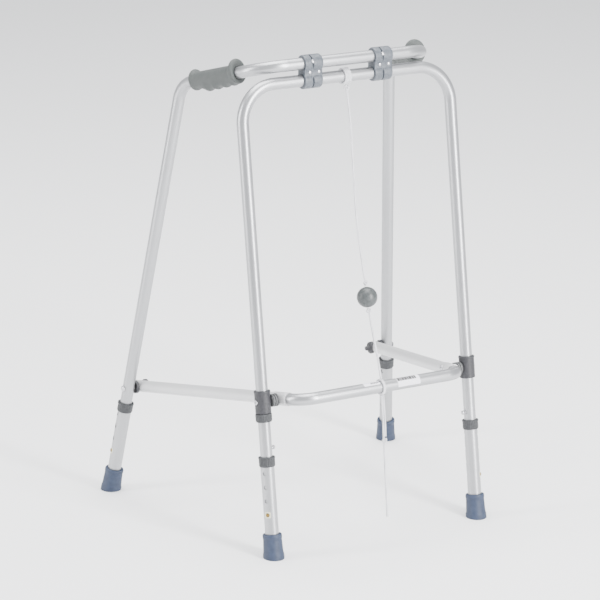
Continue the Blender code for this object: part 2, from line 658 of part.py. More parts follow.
def cord_ring(name, centre, turns):
    """Turns of cord lying side by side round a tube along X, as one plain ring."""
    inside = TUBE_R + GAP
    middle = inside + CORD_R
    half = CORD_R * turns
    profile = [(inside, -half + 0.0006), (middle, -half), (inside + 2 * CORD_R, -half + 0.0008),
               (inside + 2 * CORD_R, half - 0.0008), (middle, half), (inside, half - 0.0006)]
    add_object(name, turned(profile, SIDES, along((1, 0, 0), centre)), "cord")


def pull_cord():
    bar = Vector((TIE_X, BAR_Y, BAR_Z))
    cord_ring("cord_tie", bar, 2)
    bow_front, _, direction = brace_axis(1)
    bow_z = (bow_front - direction * ((bow_front.y - BOW_Y) / direction.y)).z
    bow = Vector((TIE_X, BOW_Y, bow_z))
    cord_ring("cord_hitch", bow, 2)
    y0 = FRONT_Y
    cord_curve("cord_upper", [
        (TIE_X, y0 + 0.1390, BAR_Z - 0.0170), (-0.003, y0 + 0.1355, 0.812), (-0.003, y0 + 0.1231, 0.763),
        (-0.003, y0 + 0.1109, 0.691), (-0.003, y0 + 0.0925, 0.583), (-0.003, y0 + 0.0745, 0.522),
        (-0.003, y0 + 0.0570, BALL_CENTRE.z + 0.0192)])
    ball = [(BALL_R * math.sin(math.pi * i / 10), -BALL_R * math.cos(math.pi * i / 10)) for i in range(11)]
    add_object("cord_ball", turned(ball, SIDES, Matrix.Translation(BALL_CENTRE)), "ball")
    cord_curve("cord_lower", [
        (-0.003, y0 + 0.0455, BALL_CENTRE.z - 0.0192), (-0.003, y0 + 0.0405, 0.417),
        (-0.003, y0 + 0.0325, 0.396),
        (-0.003, y0 + 0.0220, 0.372), (-0.003, y0 + 0.0105, 0.345), (-0.003, y0 + 0.0020, 0.322),
        (-0.003, BOW_Y, bow_z + 0.0158)])
    cord_curve("cord_tail", [
        (-0.002, BOW_Y - 0.0015, bow_z - 0.0158), (-0.001, BOW_Y - 0.0040, 0.255),
        (0.000, BOW_Y - 0.0070, 0.225),
        (0.001, BOW_Y - 0.0090, 0.195), (0.003, BOW_Y - 0.0120, 0.150), (0.005, BOW_Y - 0.0150, 0.100),
        (0.008, BOW_Y - 0.0180, 0.045)])


frame_tubes()
clips()
grips()
legs()
spreader()
pull_cord()
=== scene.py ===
"""Looks of the folding walking frame: tubes, grips, clips, fittings, cord, labels and studio.

Every piece is built in the frame's own coordinates, in metres, from the driving sizes that the CAD
part has too, and rides on the CAD body it belongs to. Smooth meshes stand for the CAD solids.
"""

import json
import math

import bmesh
import bpy
from mathutils import Matrix, Vector
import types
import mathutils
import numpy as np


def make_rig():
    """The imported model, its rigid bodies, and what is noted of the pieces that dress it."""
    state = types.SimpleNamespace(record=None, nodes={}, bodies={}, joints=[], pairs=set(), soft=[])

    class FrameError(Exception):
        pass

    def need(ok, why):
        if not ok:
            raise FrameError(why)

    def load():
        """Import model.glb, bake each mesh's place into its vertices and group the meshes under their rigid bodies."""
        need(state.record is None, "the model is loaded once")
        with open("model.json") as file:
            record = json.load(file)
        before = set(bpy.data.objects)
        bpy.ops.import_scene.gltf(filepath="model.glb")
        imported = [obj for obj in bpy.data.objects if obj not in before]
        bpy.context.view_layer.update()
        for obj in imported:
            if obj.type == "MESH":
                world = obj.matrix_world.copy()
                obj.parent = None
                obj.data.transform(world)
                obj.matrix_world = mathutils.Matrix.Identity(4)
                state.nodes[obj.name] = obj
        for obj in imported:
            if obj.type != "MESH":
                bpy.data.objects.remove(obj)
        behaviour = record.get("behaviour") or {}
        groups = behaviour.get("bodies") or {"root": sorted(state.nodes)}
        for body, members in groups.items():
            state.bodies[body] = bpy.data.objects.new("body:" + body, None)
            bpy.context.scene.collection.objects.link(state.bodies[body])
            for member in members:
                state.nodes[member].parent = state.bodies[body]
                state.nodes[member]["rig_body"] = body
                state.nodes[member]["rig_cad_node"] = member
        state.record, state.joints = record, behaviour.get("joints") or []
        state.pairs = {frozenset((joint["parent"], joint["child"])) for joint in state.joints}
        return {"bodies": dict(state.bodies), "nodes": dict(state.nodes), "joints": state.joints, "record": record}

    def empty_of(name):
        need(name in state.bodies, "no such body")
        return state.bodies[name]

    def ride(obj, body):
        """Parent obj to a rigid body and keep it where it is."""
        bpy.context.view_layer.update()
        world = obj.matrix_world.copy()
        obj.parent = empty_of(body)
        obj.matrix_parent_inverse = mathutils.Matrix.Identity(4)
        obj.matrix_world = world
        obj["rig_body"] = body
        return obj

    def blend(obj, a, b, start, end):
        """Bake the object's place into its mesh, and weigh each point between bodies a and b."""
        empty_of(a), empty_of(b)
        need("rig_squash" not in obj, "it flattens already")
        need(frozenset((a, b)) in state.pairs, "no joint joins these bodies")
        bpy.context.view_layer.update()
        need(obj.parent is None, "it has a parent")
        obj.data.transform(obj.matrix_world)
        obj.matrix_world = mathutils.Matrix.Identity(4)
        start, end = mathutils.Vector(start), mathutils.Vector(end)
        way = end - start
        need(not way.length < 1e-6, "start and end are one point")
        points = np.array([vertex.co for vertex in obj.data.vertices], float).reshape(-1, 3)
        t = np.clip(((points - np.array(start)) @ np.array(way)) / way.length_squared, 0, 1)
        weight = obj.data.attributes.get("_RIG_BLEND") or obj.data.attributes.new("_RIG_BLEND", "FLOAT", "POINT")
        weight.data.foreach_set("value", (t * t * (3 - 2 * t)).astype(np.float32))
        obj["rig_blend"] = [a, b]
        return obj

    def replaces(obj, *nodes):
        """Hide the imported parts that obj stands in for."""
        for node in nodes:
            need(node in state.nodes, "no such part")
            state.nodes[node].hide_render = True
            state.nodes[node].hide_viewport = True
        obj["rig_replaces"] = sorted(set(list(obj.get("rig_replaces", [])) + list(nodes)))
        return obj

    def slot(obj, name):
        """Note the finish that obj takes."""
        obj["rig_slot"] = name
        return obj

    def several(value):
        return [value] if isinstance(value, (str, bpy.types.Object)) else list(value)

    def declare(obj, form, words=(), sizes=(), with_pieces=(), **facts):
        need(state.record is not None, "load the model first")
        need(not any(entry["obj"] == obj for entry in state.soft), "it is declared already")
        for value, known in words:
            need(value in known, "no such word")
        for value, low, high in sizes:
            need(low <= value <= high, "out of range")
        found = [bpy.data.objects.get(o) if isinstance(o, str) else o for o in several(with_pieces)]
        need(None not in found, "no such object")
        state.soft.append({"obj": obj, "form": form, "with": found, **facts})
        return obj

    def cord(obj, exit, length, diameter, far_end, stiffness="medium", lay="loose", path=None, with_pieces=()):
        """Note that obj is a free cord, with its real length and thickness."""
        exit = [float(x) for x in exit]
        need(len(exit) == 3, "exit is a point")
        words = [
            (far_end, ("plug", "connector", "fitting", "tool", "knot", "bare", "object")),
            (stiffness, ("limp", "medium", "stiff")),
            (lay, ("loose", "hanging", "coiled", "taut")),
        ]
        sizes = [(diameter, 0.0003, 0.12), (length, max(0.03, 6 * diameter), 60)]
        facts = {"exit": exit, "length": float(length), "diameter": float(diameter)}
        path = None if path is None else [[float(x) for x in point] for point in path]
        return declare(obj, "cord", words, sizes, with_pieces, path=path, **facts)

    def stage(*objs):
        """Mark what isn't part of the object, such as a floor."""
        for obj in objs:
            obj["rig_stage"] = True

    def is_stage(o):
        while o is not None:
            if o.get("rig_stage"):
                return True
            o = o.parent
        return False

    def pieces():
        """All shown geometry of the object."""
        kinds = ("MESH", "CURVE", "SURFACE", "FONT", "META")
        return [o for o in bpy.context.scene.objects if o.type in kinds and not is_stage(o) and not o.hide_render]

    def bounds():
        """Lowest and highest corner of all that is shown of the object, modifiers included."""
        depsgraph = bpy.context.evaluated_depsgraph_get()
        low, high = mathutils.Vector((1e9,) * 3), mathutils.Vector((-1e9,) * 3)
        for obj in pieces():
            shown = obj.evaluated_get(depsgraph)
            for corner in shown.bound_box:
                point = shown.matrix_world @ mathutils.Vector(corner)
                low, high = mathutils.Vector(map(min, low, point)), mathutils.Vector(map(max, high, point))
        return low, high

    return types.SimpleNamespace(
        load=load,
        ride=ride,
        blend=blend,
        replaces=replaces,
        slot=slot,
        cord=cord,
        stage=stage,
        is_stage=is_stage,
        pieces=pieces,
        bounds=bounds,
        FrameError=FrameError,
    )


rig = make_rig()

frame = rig.load()
CAD_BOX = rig.bounds()

# ---- driving dimensions, as in the CAD part --------------
TUBE_R = 0.0111
TUBE_WALL = 0.0014
EXT_R = 0.0127
EXT_BORE_R = 0.0116
GAP = 0.0003
FRONT_Y = -0.2287
REAR_Y = 0.2287
FRONT_HALF = 0.2215
REAR_FOOT_HALF = 0.3127
BAR_Y = FRONT_Y + 0.145
BAR_Z = 0.841
UPPER_BAR_Z = 0.872
HANDLE_FRONT_HALF = 0.174
HANDLE_REAR = Vector((0.2255, FRONT_Y + 0.3505, 0.807))
FRONT_BEND_R = 0.068
HANDLE_FRONT_BEND_R = 0.060
HANDLE_REAR_BEND_R = 0.046
UPPER_TUBE_END = 0.058     # up a leg, like EXT_END, EXT_TOP, BUTTON_AT, SLEEVE_AT, STOP_RIVET_AT
EXT_END = 0.0083
EXT_TOP = {"front": 0.181, "rear": 0.176}
HOLE_PITCH = 0.0254
BUTTON_AT = 0.081
HOLE_COUNT = 4
HOLE_R = 0.0038
BUTTON_AZIMUTH = {"front": 56, "rear": 105}  # degrees outwards from straight ahead
SLEEVE_AT = 0.2872
SLEEVE_LENGTH = 0.0415
SLEEVE_R = 0.0145
STOP_RING_LENGTH = 0.0155
STOP_RIVET_AT = 0.2015
PIVOT_Y = FRONT_Y + 0.4295
PIVOT_Z = 0.208
BRACE_FRONT = Vector((0.1776, FRONT_Y + 0.028, 0.2865))
BRACE_PIVOT = Vector((0.2644, PIVOT_Y, PIVOT_Z))
BRACE_TAIL = 0.0115        # brace length behind its pivot
SOCKET_LENGTH = 0.044
SOCKET_R = 0.0124
BOW_BEND_R = 0.038
BOW_OVERLAP = 0.0365
BOW_Y = FRONT_Y - 0.003
RIVET_AT = 0.030           # from a brace's front end to its rivet
RIVET_TILT = math.radians(22)
RIVET_HOLE_R = 0.0030
BOLT_R = 0.0030
PIVOT_FLANGE_R = 0.0124
NUT_FLANGE_R = 0.0118
HUB_R = 0.0118
HUB_WAIST_R = 0.0100
CLIP_MIDDLES = {"left": -0.0765, "right": 0.0720}
CLIP_WIDTH = 0.038
CLIP_R = 0.0157
CLIP_WEB = 0.0120
CLIP_EASE = 0.0028         # how far from an end a clip starts to round off
CLIP_EASE_DEPTH = 0.0024
GROOVE_HALF = 0.0009
GROOVE_DEPTH = 0.0030
BAND_LIP = 0.0026
BAND_LIP_DEPTH = 0.0017
GAP_LEAN = -0.0022
CLIP_HEAD_R = 0.0033
CLIP_HEAD_H = 0.0016
CLIP_SHANK_R = 0.0019
CLIP_SHANK_END = TUBE_R - 0.0045
WEB_RIVETS = (-0.0077, 0.0108)  # along the bar, from the clip's middle
WEB_RIVET_Z = 0.8578
TUBE_RIVET = -0.0035
TUBE_RIVET_TILT = math.radians(22)
GRIP_START = 0.0654
GRIP_LENGTH = 0.119
GRIP_R = 0.0160
GRIP_BELLY = 0.0046        # how much thicker a grip is underneath
FINGER_PITCH = 0.19        # from ridge to ridge, as a share of the grip's length
FRONT_FLANGE = (0.0198, 0.0064)  # radius underneath, and how much more on top
REAR_FLANGE = (0.0178, 0.0036)
GRIP_EDGE = 0.0032
GRIP_EDGE_DEPTH = 0.0026
CORD_R = 0.0019
CORD_X = -0.003
BALL_R = 0.0190
BALL_CENTRE = Vector((CORD_X, FRONT_Y + 0.0506, 0.4485))
FIT = 0.0001               # a skin that hides the seam between two fine meshes

# ---- how finely the looks are meshed ---------------------
SIDES = 48
SMALL_SIDES = 32
BEND_STEP = math.radians(3)
UP = Vector((0, 0, 1))
SIDE_NAMES = ((-1, "left"), (1, "right"))
RECORD = frame["record"]
BODY_OF = {node: body for body, nodes in RECORD["behaviour"]["bodies"].items() for node in nodes}
SLOT_OF = {part["node"]: part["material_slot"] for part in RECORD["subparts"]}


# ---- procedural materials --------------------------------
class Surface:
    """A Principled material with a few helpers for wiring its detail."""

    def __init__(self, name, metallic, roughness):
        self.material = bpy.data.materials.new(name)
        self.material.use_nodes = True
        self.tree = self.material.node_tree
        self.shader = self.tree.nodes["Principled BSDF"]
        self.shader.inputs["Metallic"].default_value = metallic
        self.shader.inputs["Roughness"].default_value = roughness
        self.coordinates = self.tree.nodes.new("ShaderNodeTexCoord")

    def link(self, output, target):
        self.tree.links.new(output, target)

    def stretched(self, scale, source="Object"):
        mapping = self.tree.nodes.new("ShaderNodeMapping")
        mapping.inputs["Scale"].default_value = scale
        self.link(self.coordinates.outputs[source], mapping.inputs["Vector"])
        return mapping.outputs["Vector"]

    def noise(self, scale, detail=3.0, source="Object"):
        texture = self.tree.nodes.new("ShaderNodeTexNoise")
        texture.inputs["Scale"].default_value = 1.0
        texture.inputs["Detail"].default_value = detail
        self.link(self.stretched(scale, source), texture.inputs["Vector"])
        return texture.outputs["Fac"]

    def ramp(self, value, stops):
        ramp = self.tree.nodes.new("ShaderNodeValToRGB")
        while len(ramp.color_ramp.elements) < len(stops):
            ramp.color_ramp.elements.new(0.5)
        for element, (place, colour) in zip(ramp.color_ramp.elements, stops):
            element.position = place
            element.color = (*colour, 1.0)
        self.link(value, ramp.inputs["Fac"])
        return ramp.outputs["Color"]

    def colour(self, value, stops):
        self.link(self.ramp(value, stops), self.shader.inputs["Base Color"])

    def roughness(self, value, low, high):
        spread = self.tree.nodes.new("ShaderNodeMapRange")
        spread.inputs["From Min"].default_value = 0.3
        spread.inputs["From Max"].default_value = 0.7
        spread.inputs["To Min"].default_value = low
        spread.inputs["To Max"].default_value = high
        self.link(value, spread.inputs["Value"])
        self.link(spread.outputs["Result"], self.shader.inputs["Roughness"])

    def calc(self, operation, first, second=0.0):
        node = self.tree.nodes.new("ShaderNodeMath")
        node.operation = operation
        for value, target in ((first, node.inputs[0]), (second, node.inputs[1])):
            if isinstance(value, (int, float)):
                target.default_value = value
            else:
                self.link(value, target)
        return node.outputs[0]

    def uv(self):
        split = self.tree.nodes.new("ShaderNodeSeparateXYZ")
        self.link(self.coordinates.outputs["UV"], split.inputs["Vector"])
        return split.outputs["X"], split.outputs["Y"]

    def bump(self, height, distance):
        node = self.tree.nodes.new("ShaderNodeBump")
        node.inputs["Distance"].default_value = distance
        self.link(height, node.inputs["Height"])
        self.link(node.outputs["Normal"], self.shader.inputs["Normal"])


def tube_metal(name, colour, rough):
    """Drawn aluminium: fine lines along the tube, faint cloudiness in tone and gloss."""
    surface = Surface(name, 0.85, rough)
    shade = [c * 0.93 for c in colour]
    surface.colour(surface.noise((9.0, 9.0, 9.0), 4.0), [(0.30, shade), (0.70, colour)])
    lines = surface.noise((90.0, 3.0, 1.0), 3.0, "UV")
    surface.roughness(lines, rough - 0.05, rough + 0.05)
    surface.bump(lines, 0.00002)
    return surface.material


def blasted_metal(name, colour, rough):
    """Bead-blasted aluminium: an even fine grain in place of drawn lines."""
    surface = Surface(name, 0.6, rough)
    grain = surface.noise((1500.0, 1500.0, 1500.0), 2.0)
    shade = [c * 0.95 for c in colour]
    surface.colour(surface.noise((14.0, 14.0, 14.0), 3.0), [(0.30, shade), (0.70, colour)])
    surface.roughness(grain, rough - 0.06, rough + 0.06)
    surface.bump(grain, 0.00003)
    return surface.material


def plain_metal(name, colour, rough):
    """Small turned or pressed parts: worn a little unevenly."""
    surface = Surface(name, 1.0, rough)
    wear = surface.noise((420.0, 420.0, 420.0), 4.0)
    surface.colour(wear, [(0.35, [c * 0.78 for c in colour]), (0.62, colour)])
    surface.roughness(wear, rough + 0.12, rough - 0.04)
    return surface.material


def moulded(name, dark, light, rough, mottle, grain=0.00005):
    """Moulded plastic or rubber: mottled tone at one scale, a fine grain at another.

    mottle is in spots per metre or so, and grain is the depth of the fine bump.
    """
    surface = Surface(name, 0.0, rough)
    surface.colour(surface.noise((mottle, mottle, mottle), 5.0), [(0.33, dark), (0.66, light)])
    fine = surface.noise((1700.0, 1700.0, 1700.0), 2.0)
    surface.roughness(fine, rough - 0.07, rough + 0.07)
    surface.bump(fine, grain)
    return surface.material


def knurled(name, dark, light, rough, teeth):
    """Moulded plastic with fine ribs along its axis; the ribs follow the turning angle."""
    surface = Surface(name, 0.0, rough)
    surface.colour(surface.noise((300.0, 300.0, 300.0), 4.0), [(0.33, dark), (0.66, light)])
    around, _ = surface.uv()
    surface.bump(surface.calc("SINE", surface.calc("MULTIPLY", around, 2 * math.pi * teeth)), 0.00022)
    return surface.material


def braid(name, colour, strands, pitch):
    """Round braid: two families of strands wind round the cord in opposite directions, and the colour darkens in the
    hollows between them as painted shade.
    """
    surface = Surface(name, 0.0, 0.78)
    around, ahead = surface.uv()
    turn = surface.calc("MULTIPLY", around, 2 * math.pi * strands)
    climb = surface.calc("MULTIPLY", ahead, 2 * math.pi / pitch)
    rising = surface.calc("SINE", surface.calc("ADD", turn, climb))
    falling = surface.calc("SINE", surface.calc("SUBTRACT", turn, climb))
    height = surface.calc("MAXIMUM", rising, falling)
    # painted shade: the colour falls to 0.72 of the cord's white in the low hollows between strands
    surface.colour(height, [(0.0, [c * 0.72 for c in colour]), (0.75, colour)])
    surface.bump(height, 0.00018)
    surface.shader.inputs["Sheen Weight"].default_value = 0.3
    return surface.material


TUBE = tube_metal("anodised aluminium", (0.400, 0.404, 0.415), 0.36)
BRACE = blasted_metal("satin aluminium", (0.60, 0.60, 0.605), 0.48)
STEEL = plain_metal("zinc plated steel", (0.60, 0.60, 0.62), 0.26)
BRASS = plain_metal("brass", (0.252, 0.168, 0.060), 0.32)
CLIP = moulded("mottled blue-grey plastic", (0.057, 0.066, 0.079), (0.096, 0.108, 0.127), rough=0.42,
               mottle=330.0)
BUSH = moulded("dark grey plastic", (0.016, 0.016, 0.019), (0.029, 0.029, 0.034), rough=0.50,
               mottle=260.0)
RIBBED = knurled("ribbed dark grey plastic", (0.017, 0.018, 0.020), (0.033, 0.035, 0.039), rough=0.50,
                 teeth=30)
HUB = knurled("ribbed grey plastic", (0.075, 0.077, 0.080), (0.110, 0.113, 0.115), rough=0.50,
              teeth=30)
GRIP = moulded("grey soft vinyl", (0.047, 0.054, 0.052), (0.060, 0.066, 0.064), rough=0.62,
               mottle=60.0, grain=0.00012)
RUBBER = moulded("slate blue rubber", (0.014, 0.024, 0.052), (0.022, 0.035, 0.070), rough=0.58,
                 mottle=120.0, grain=0.0001)
BALL = moulded("speckled grey plastic", (0.036, 0.041, 0.041), (0.065, 0.072, 0.073), rough=0.38,
               mottle=230.0)
CORD = braid("white braided cord", (0.680, 0.680, 0.705), strands=4, pitch=0.9)
PAPER = moulded("pale label", (0.78, 0.77, 0.83), (0.86, 0.85, 0.90), rough=0.45, mottle=90.0)
INK = moulded("label bars", (0.030, 0.030, 0.032), (0.070, 0.068, 0.066), rough=0.55, mottle=500.0)
STICKER = moulded("pale yellow sticker", (0.576, 0.560, 0.416), (0.656, 0.640, 0.496), rough=0.50,
                  mottle=200.0)


# ---- mesh helpers ----------------------------------------
def make(name, bm, mat, crease=35):
    """Links a bmesh as an object with outward faces, smooth but for edges sharper than crease."""
    bmesh.ops.recalc_face_normals(bm, faces=bm.faces)
    mesh = bpy.data.meshes.new(name)
    bm.to_mesh(mesh)
    bm.free()
    mesh.shade_smooth()
    mesh.set_sharp_from_angle(angle=math.radians(crease))
    mesh.materials.append(mat)
    obj = bpy.data.objects.new(name, mesh)
    bpy.context.scene.collection.objects.link(obj)
    return obj


def stand_for(obj, node, *others):
    """obj takes the place of CAD nodes, and rides on the first one's body."""
    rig.replaces(obj, node, *others)
    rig.ride(obj, BODY_OF[node])
    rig.slot(obj, SLOT_OF[node])
    return obj


def attach(obj, body, slot):
    """obj has no CAD node of its own: it rides on a body and takes a slot's material."""
    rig.ride(obj, body)
    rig.slot(obj, slot)
    return obj


def along(direction, origin=Vector((0, 0, 0)), facing=None):
    """A placement whose Z runs along direction and whose X faces, as far as it can, facing."""
    z = Vector(direction).normalized()
    hint = Vector(facing) if facing is not None else Vector((0.3, 0.2, 1.0))
    x = (hint - hint.dot(z) * z).normalized()
    y = z.cross(x)
    return Matrix.Translation(origin) @ Matrix((x, y, z)).transposed().to_4x4()


def skin(bm, rings, heights, closed):
    """Joins rings of equal size into walls, with UVs: turns round, and the height along."""
    uv = bm.loops.layers.uv.verify()
    count = max(len(ring) for ring in rings)
    pairs = list(zip(rings, rings[1:], heights, heights[1:]))
    if closed:
        pairs.append((rings[-1], rings[0], heights[-1], heights[-1] + 0.001))
    for low, high, v_low, v_high in pairs:
        for i in range(count):
            corners = [(low[i % len(low)], i, v_low), (low[(i + 1) % len(low)], i + 1, v_low),
                       (high[(i + 1) % len(high)], i + 1, v_high), (high[i % len(high)], i, v_high)]
            kept = list({corner[0]: corner for corner in corners[::-1]}.values())[::-1]
            face = bm.faces.new([corner[0] for corner in kept])
            for loop, corner in zip(face.loops, kept):
                loop[uv].uv = (corner[1] / count, corner[2])


def turned(profile, sides=SIDES, matrix=Matrix(), bm=None):
    """A closed body turned about Z from (radius, height) points; off the axis it is a ring."""
    bm = bm or bmesh.new()
    rings = []
    heights = [0.0]
    for (r_low, z_low), (r_high, z_high) in zip(profile, profile[1:]):
        heights.append(heights[-1] + math.hypot(r_high - r_low, z_high - z_low))
    for radius, height in profile:
        if radius < 1e-9:
            rings.append([bm.verts.new(matrix @ Vector((0, 0, height)))])
            continue
        turns = (2 * math.pi * i / sides for i in range(sides))
        spots = (Vector((radius * math.cos(t), radius * math.sin(t), height)) for t in turns)
        rings.append([bm.verts.new(matrix @ spot) for spot in spots])
    skin(bm, rings, heights, profile[0][0] > 1e-9)
    return bm


def eased(profile, radius, steps=3):
    """The profile with each inner corner rounded off by about radius."""
    points = [Vector(p) for p in profile]
    result = [points[0]]
    for before, corner, after in zip(points, points[1:], points[2:]):
        reach = min(radius, 0.45 * (before - corner).length, 0.45 * (after - corner).length)
        start = corner + (before - corner).normalized() * reach
        end = corner + (after - corner).normalized() * reach
        for i in range(steps + 1):
            t = i / steps
            result.append((1 - t) ** 2 * start + 2 * t * (1 - t) * corner + t ** 2 * end)
    return [tuple(p) for p in result + [points[-1]]]


def rounded_path(corners, radii):
    """The polyline through corners with each inner corner replaced by an arc of its radius."""
    points = [Vector(corners[0])]
    for before, corner, after, radius in zip(corners, corners[1:], corners[2:], radii):
        a = (Vector(before) - Vector(corner)).normalized()
        b = (Vector(after) - Vector(corner)).normalized()
        turn = math.pi - a.angle(b)
        centre = Vector(corner) + (a + b).normalized() * (radius / math.cos(turn / 2))
        start = Vector(corner) + a * (radius * math.tan(turn / 2)) - centre
        axis = a.cross(b).normalized()
        count = math.ceil(turn / BEND_STEP)
        for i in range(count + 1):
            points.append(centre + Matrix.Rotation(-turn * i / count, 3, axis) @ start)
    points.append(Vector(corners[-1]))
    return points


def sweep(points, radii, bores=None, sides=SIDES, bm=None):
    """A round tube along points, with one outer radius and, if hollow, one bore for each point."""
    bm = bm or bmesh.new()
    normal = (points[1] - points[0]).orthogonal().normalized()
    outer, inner, heights = [], [], [0.0]
    for i, point in enumerate(points):
        ahead = (points[min(i + 1, len(points) - 1)] - point).normalized()
        behind = (point - points[max(i - 1, 0)]).normalized()
        tangent = (ahead + behind).normalized()
        normal = (normal - normal.dot(tangent) * tangent).normalized()
        side = tangent.cross(normal)
        spokes = [normal * math.cos(t) + side * math.sin(t)
                  for t in (2 * math.pi * k / sides for k in range(sides))]
        outer.append([bm.verts.new(point + spoke * radii[i]) for spoke in spokes])
        if bores:
            inner.append([bm.verts.new(point + spoke * bores[i]) for spoke in spokes])
        if i:
            heights.append(heights[-1] + (point - points[i - 1]).length * 10)
    if bores:
        skin(bm, outer + inner[::-1], heights + heights[::-1], True)
    else:
        skin(bm, outer, heights, False)
        bm.faces.new(outer[0])
        bm.faces.new(outer[-1])
    return bm


def smooth_route(route, spacing):
    """Points at about the given spacing on a Catmull-Rom curve through the route's points."""
    knots = [Vector(p) for p in route]
    knots = [2 * knots[0] - knots[1]] + knots + [2 * knots[-1] - knots[-2]]
    points = []
    for p0, p1, p2, p3 in zip(knots, knots[1:], knots[2:], knots[3:]):
        count = max(1, round((p2 - p1).length / spacing))
        for i in range(count):
            t = i / count
            points.append(0.5 * (2 * p1 + (p2 - p0) * t + (2 * p0 - 5 * p1 + 4 * p2 - p3) * t ** 2
                                 + (3 * p1 - p0 - 3 * p2 + p3) * t ** 3))
    return points + [knots[-2]]


def drill(obj, bm, crease=35):
    """Cuts the closed bodies in bm out of obj for good, with crisp edges round the cuts."""
    cutter = make(obj.name + "_drill", bm, obj.data.materials[0])
    boolean = obj.modifiers.new("drill", "BOOLEAN")
    boolean.operation = "DIFFERENCE"
    boolean.solver = "EXACT"
    boolean.object = cutter
    bpy.context.view_layer.update()
    graph = bpy.context.evaluated_depsgraph_get()
    mesh = bpy.data.meshes.new_from_object(obj.evaluated_get(graph))
    obj.modifiers.clear()
    obj.data = mesh
    mesh.shade_smooth()
    mesh.set_sharp_from_angle(angle=math.radians(crease))
    bpy.data.objects.remove(cutter, do_unlink=True)


def pin(origin, direction, start, end, radius, bm=None):
    """A plain round bar from start to end along direction, for holes and shanks."""
    profile = [(0, start), (radius, start), (radius, end), (0, end)]
    return turned(profile, SMALL_SIDES, along(direction, origin), bm)


def fitting(node, suffix, profile, place, mat, sides=SMALL_SIDES):
    """A turned piece that takes the place of node and is named after it."""
    return stand_for(make(f"{node}_{suffix}", turned(profile, sides, place), mat), node)


def dome(radius, height, base, steps=6):
    """Profile points of a domed head that rises from base."""
    return [(radius * math.cos(t), base + height * math.sin(t))
            for t in (math.pi / 2 * i / steps for i in range(1, steps))] + [(0, base + height)]


# ---- places of the legs, braces and bow ------------------
def leg_line(end, side):
    """Floor point and upward direction of a leg; end is "front" or "rear"."""
    if end == "front":
        foot = Vector((side * FRONT_HALF, FRONT_Y, 0))
        top = Vector((side * FRONT_HALF, BAR_Y, BAR_Z))
    else:
        foot = Vector((side * REAR_FOOT_HALF, REAR_Y, 0))
        top = Vector((side * HANDLE_REAR.x, HANDLE_REAR.y, HANDLE_REAR.z))
    return foot, (top - foot).normalized()


def leg_frame(end, side, height=0.0):
    """Placement on a leg's axis, Z up the leg and X towards its snap button."""
    foot, direction = leg_line(end, side)
    azimuth = math.radians(BUTTON_AZIMUTH[end])
    facing = Vector((side * math.sin(azimuth), -math.cos(azimuth), 0))
    return along(direction, foot + direction * height, facing)


def cross_leg(end, side, height):
    """Placement on a leg's axis with Z pointing out through the snap button's hole."""
    return leg_frame(end, side, height) @ Matrix.Rotation(math.radians(90), 4, "Y")


def brace_axis(side):
    front = Vector((side * BRACE_FRONT.x, BRACE_FRONT.y, BRACE_FRONT.z))
    rear = Vector((side * BRACE_PIVOT.x, BRACE_PIVOT.y, BRACE_PIVOT.z))
    return front, rear, (rear - front).normalized()


def rivet_facing(side):
    """A brace's rivet comes out square to its inner face, a little above the middle."""
    _, _, direction = brace_axis(side)
    inwards = Vector((-side * math.cos(RIVET_TILT), 0, math.sin(RIVET_TILT)))
    return (inwards - inwards.dot(direction) * direction).normalized()


def mirrored(half):
    """A left-to-right list of corners from its right half, given from the end inwards."""
    return [Vector((-p.x, p.y, p.z)) for p in half] + half[::-1]


def bow_corner():
    front, _, direction = brace_axis(1)
    return front - direction * ((front.y - BOW_Y) / direction.y)


BOW_Z = bow_corner().z


# ---- camera ----------------------------------------------
CAMERA_PLACE = (-2.9549, -4.7564, 2.0744)
CAMERA_AZIMUTH = math.radians(-31.53)
CAMERA_ELEVATION = math.radians(16.70)
CAMERA_ROLL = math.radians(1.17)
CAMERA_LENS = 187.57
SENSOR_WIDTH = 36.0


def camera():
    """The photograph's viewing angle: from the front left, a little above, with a long lens."""
    azimuth, elevation, roll = CAMERA_AZIMUTH, CAMERA_ELEVATION, CAMERA_ROLL
    ahead = Vector((-math.sin(azimuth) * math.cos(elevation), math.cos(azimuth) * math.cos(elevation),
                    -math.sin(elevation)))
    right = ahead.cross(UP).normalized()
    above = right.cross(ahead)
    x = right * math.cos(roll) + above * math.sin(roll)
    y = above * math.cos(roll) - right * math.sin(roll)
    data = bpy.data.cameras.new("camera")
    data.sensor_width = SENSOR_WIDTH
    data.lens = CAMERA_LENS
    data.clip_end = 100.0
    obj = bpy.data.objects.new("camera", data)
    bpy.context.scene.collection.objects.link(obj)
    place = Matrix((x, y, -ahead)).transposed().to_4x4()
    obj.matrix_world = Matrix.Translation(CAMERA_PLACE) @ place
    bpy.context.scene.camera = obj


# ---- pull cord -------------------------------------------
UPPER_ROUTE = [
    (CORD_X, FRONT_Y + 0.1390, BAR_Z - 0.0170), (CORD_X, FRONT_Y + 0.1355, 0.812),
    (CORD_X, FRONT_Y + 0.1231, 0.763), (CORD_X, FRONT_Y + 0.1109, 0.691),
    (CORD_X, FRONT_Y + 0.0925, 0.583), (CORD_X, FRONT_Y + 0.0745, 0.522),
    (CORD_X, FRONT_Y + 0.0570, BALL_CENTRE.z + 0.0192)]
LOWER_ROUTE = [
    (CORD_X, FRONT_Y + 0.0455, BALL_CENTRE.z - 0.0192), (CORD_X, FRONT_Y + 0.0405, 0.417),
    (CORD_X, FRONT_Y + 0.0325, 0.396), (CORD_X, FRONT_Y + 0.0220, 0.372),
    (CORD_X, FRONT_Y + 0.0105, 0.345), (CORD_X, FRONT_Y + 0.0020, 0.322),
    (CORD_X, BOW_Y, BOW_Z + 0.0158)]
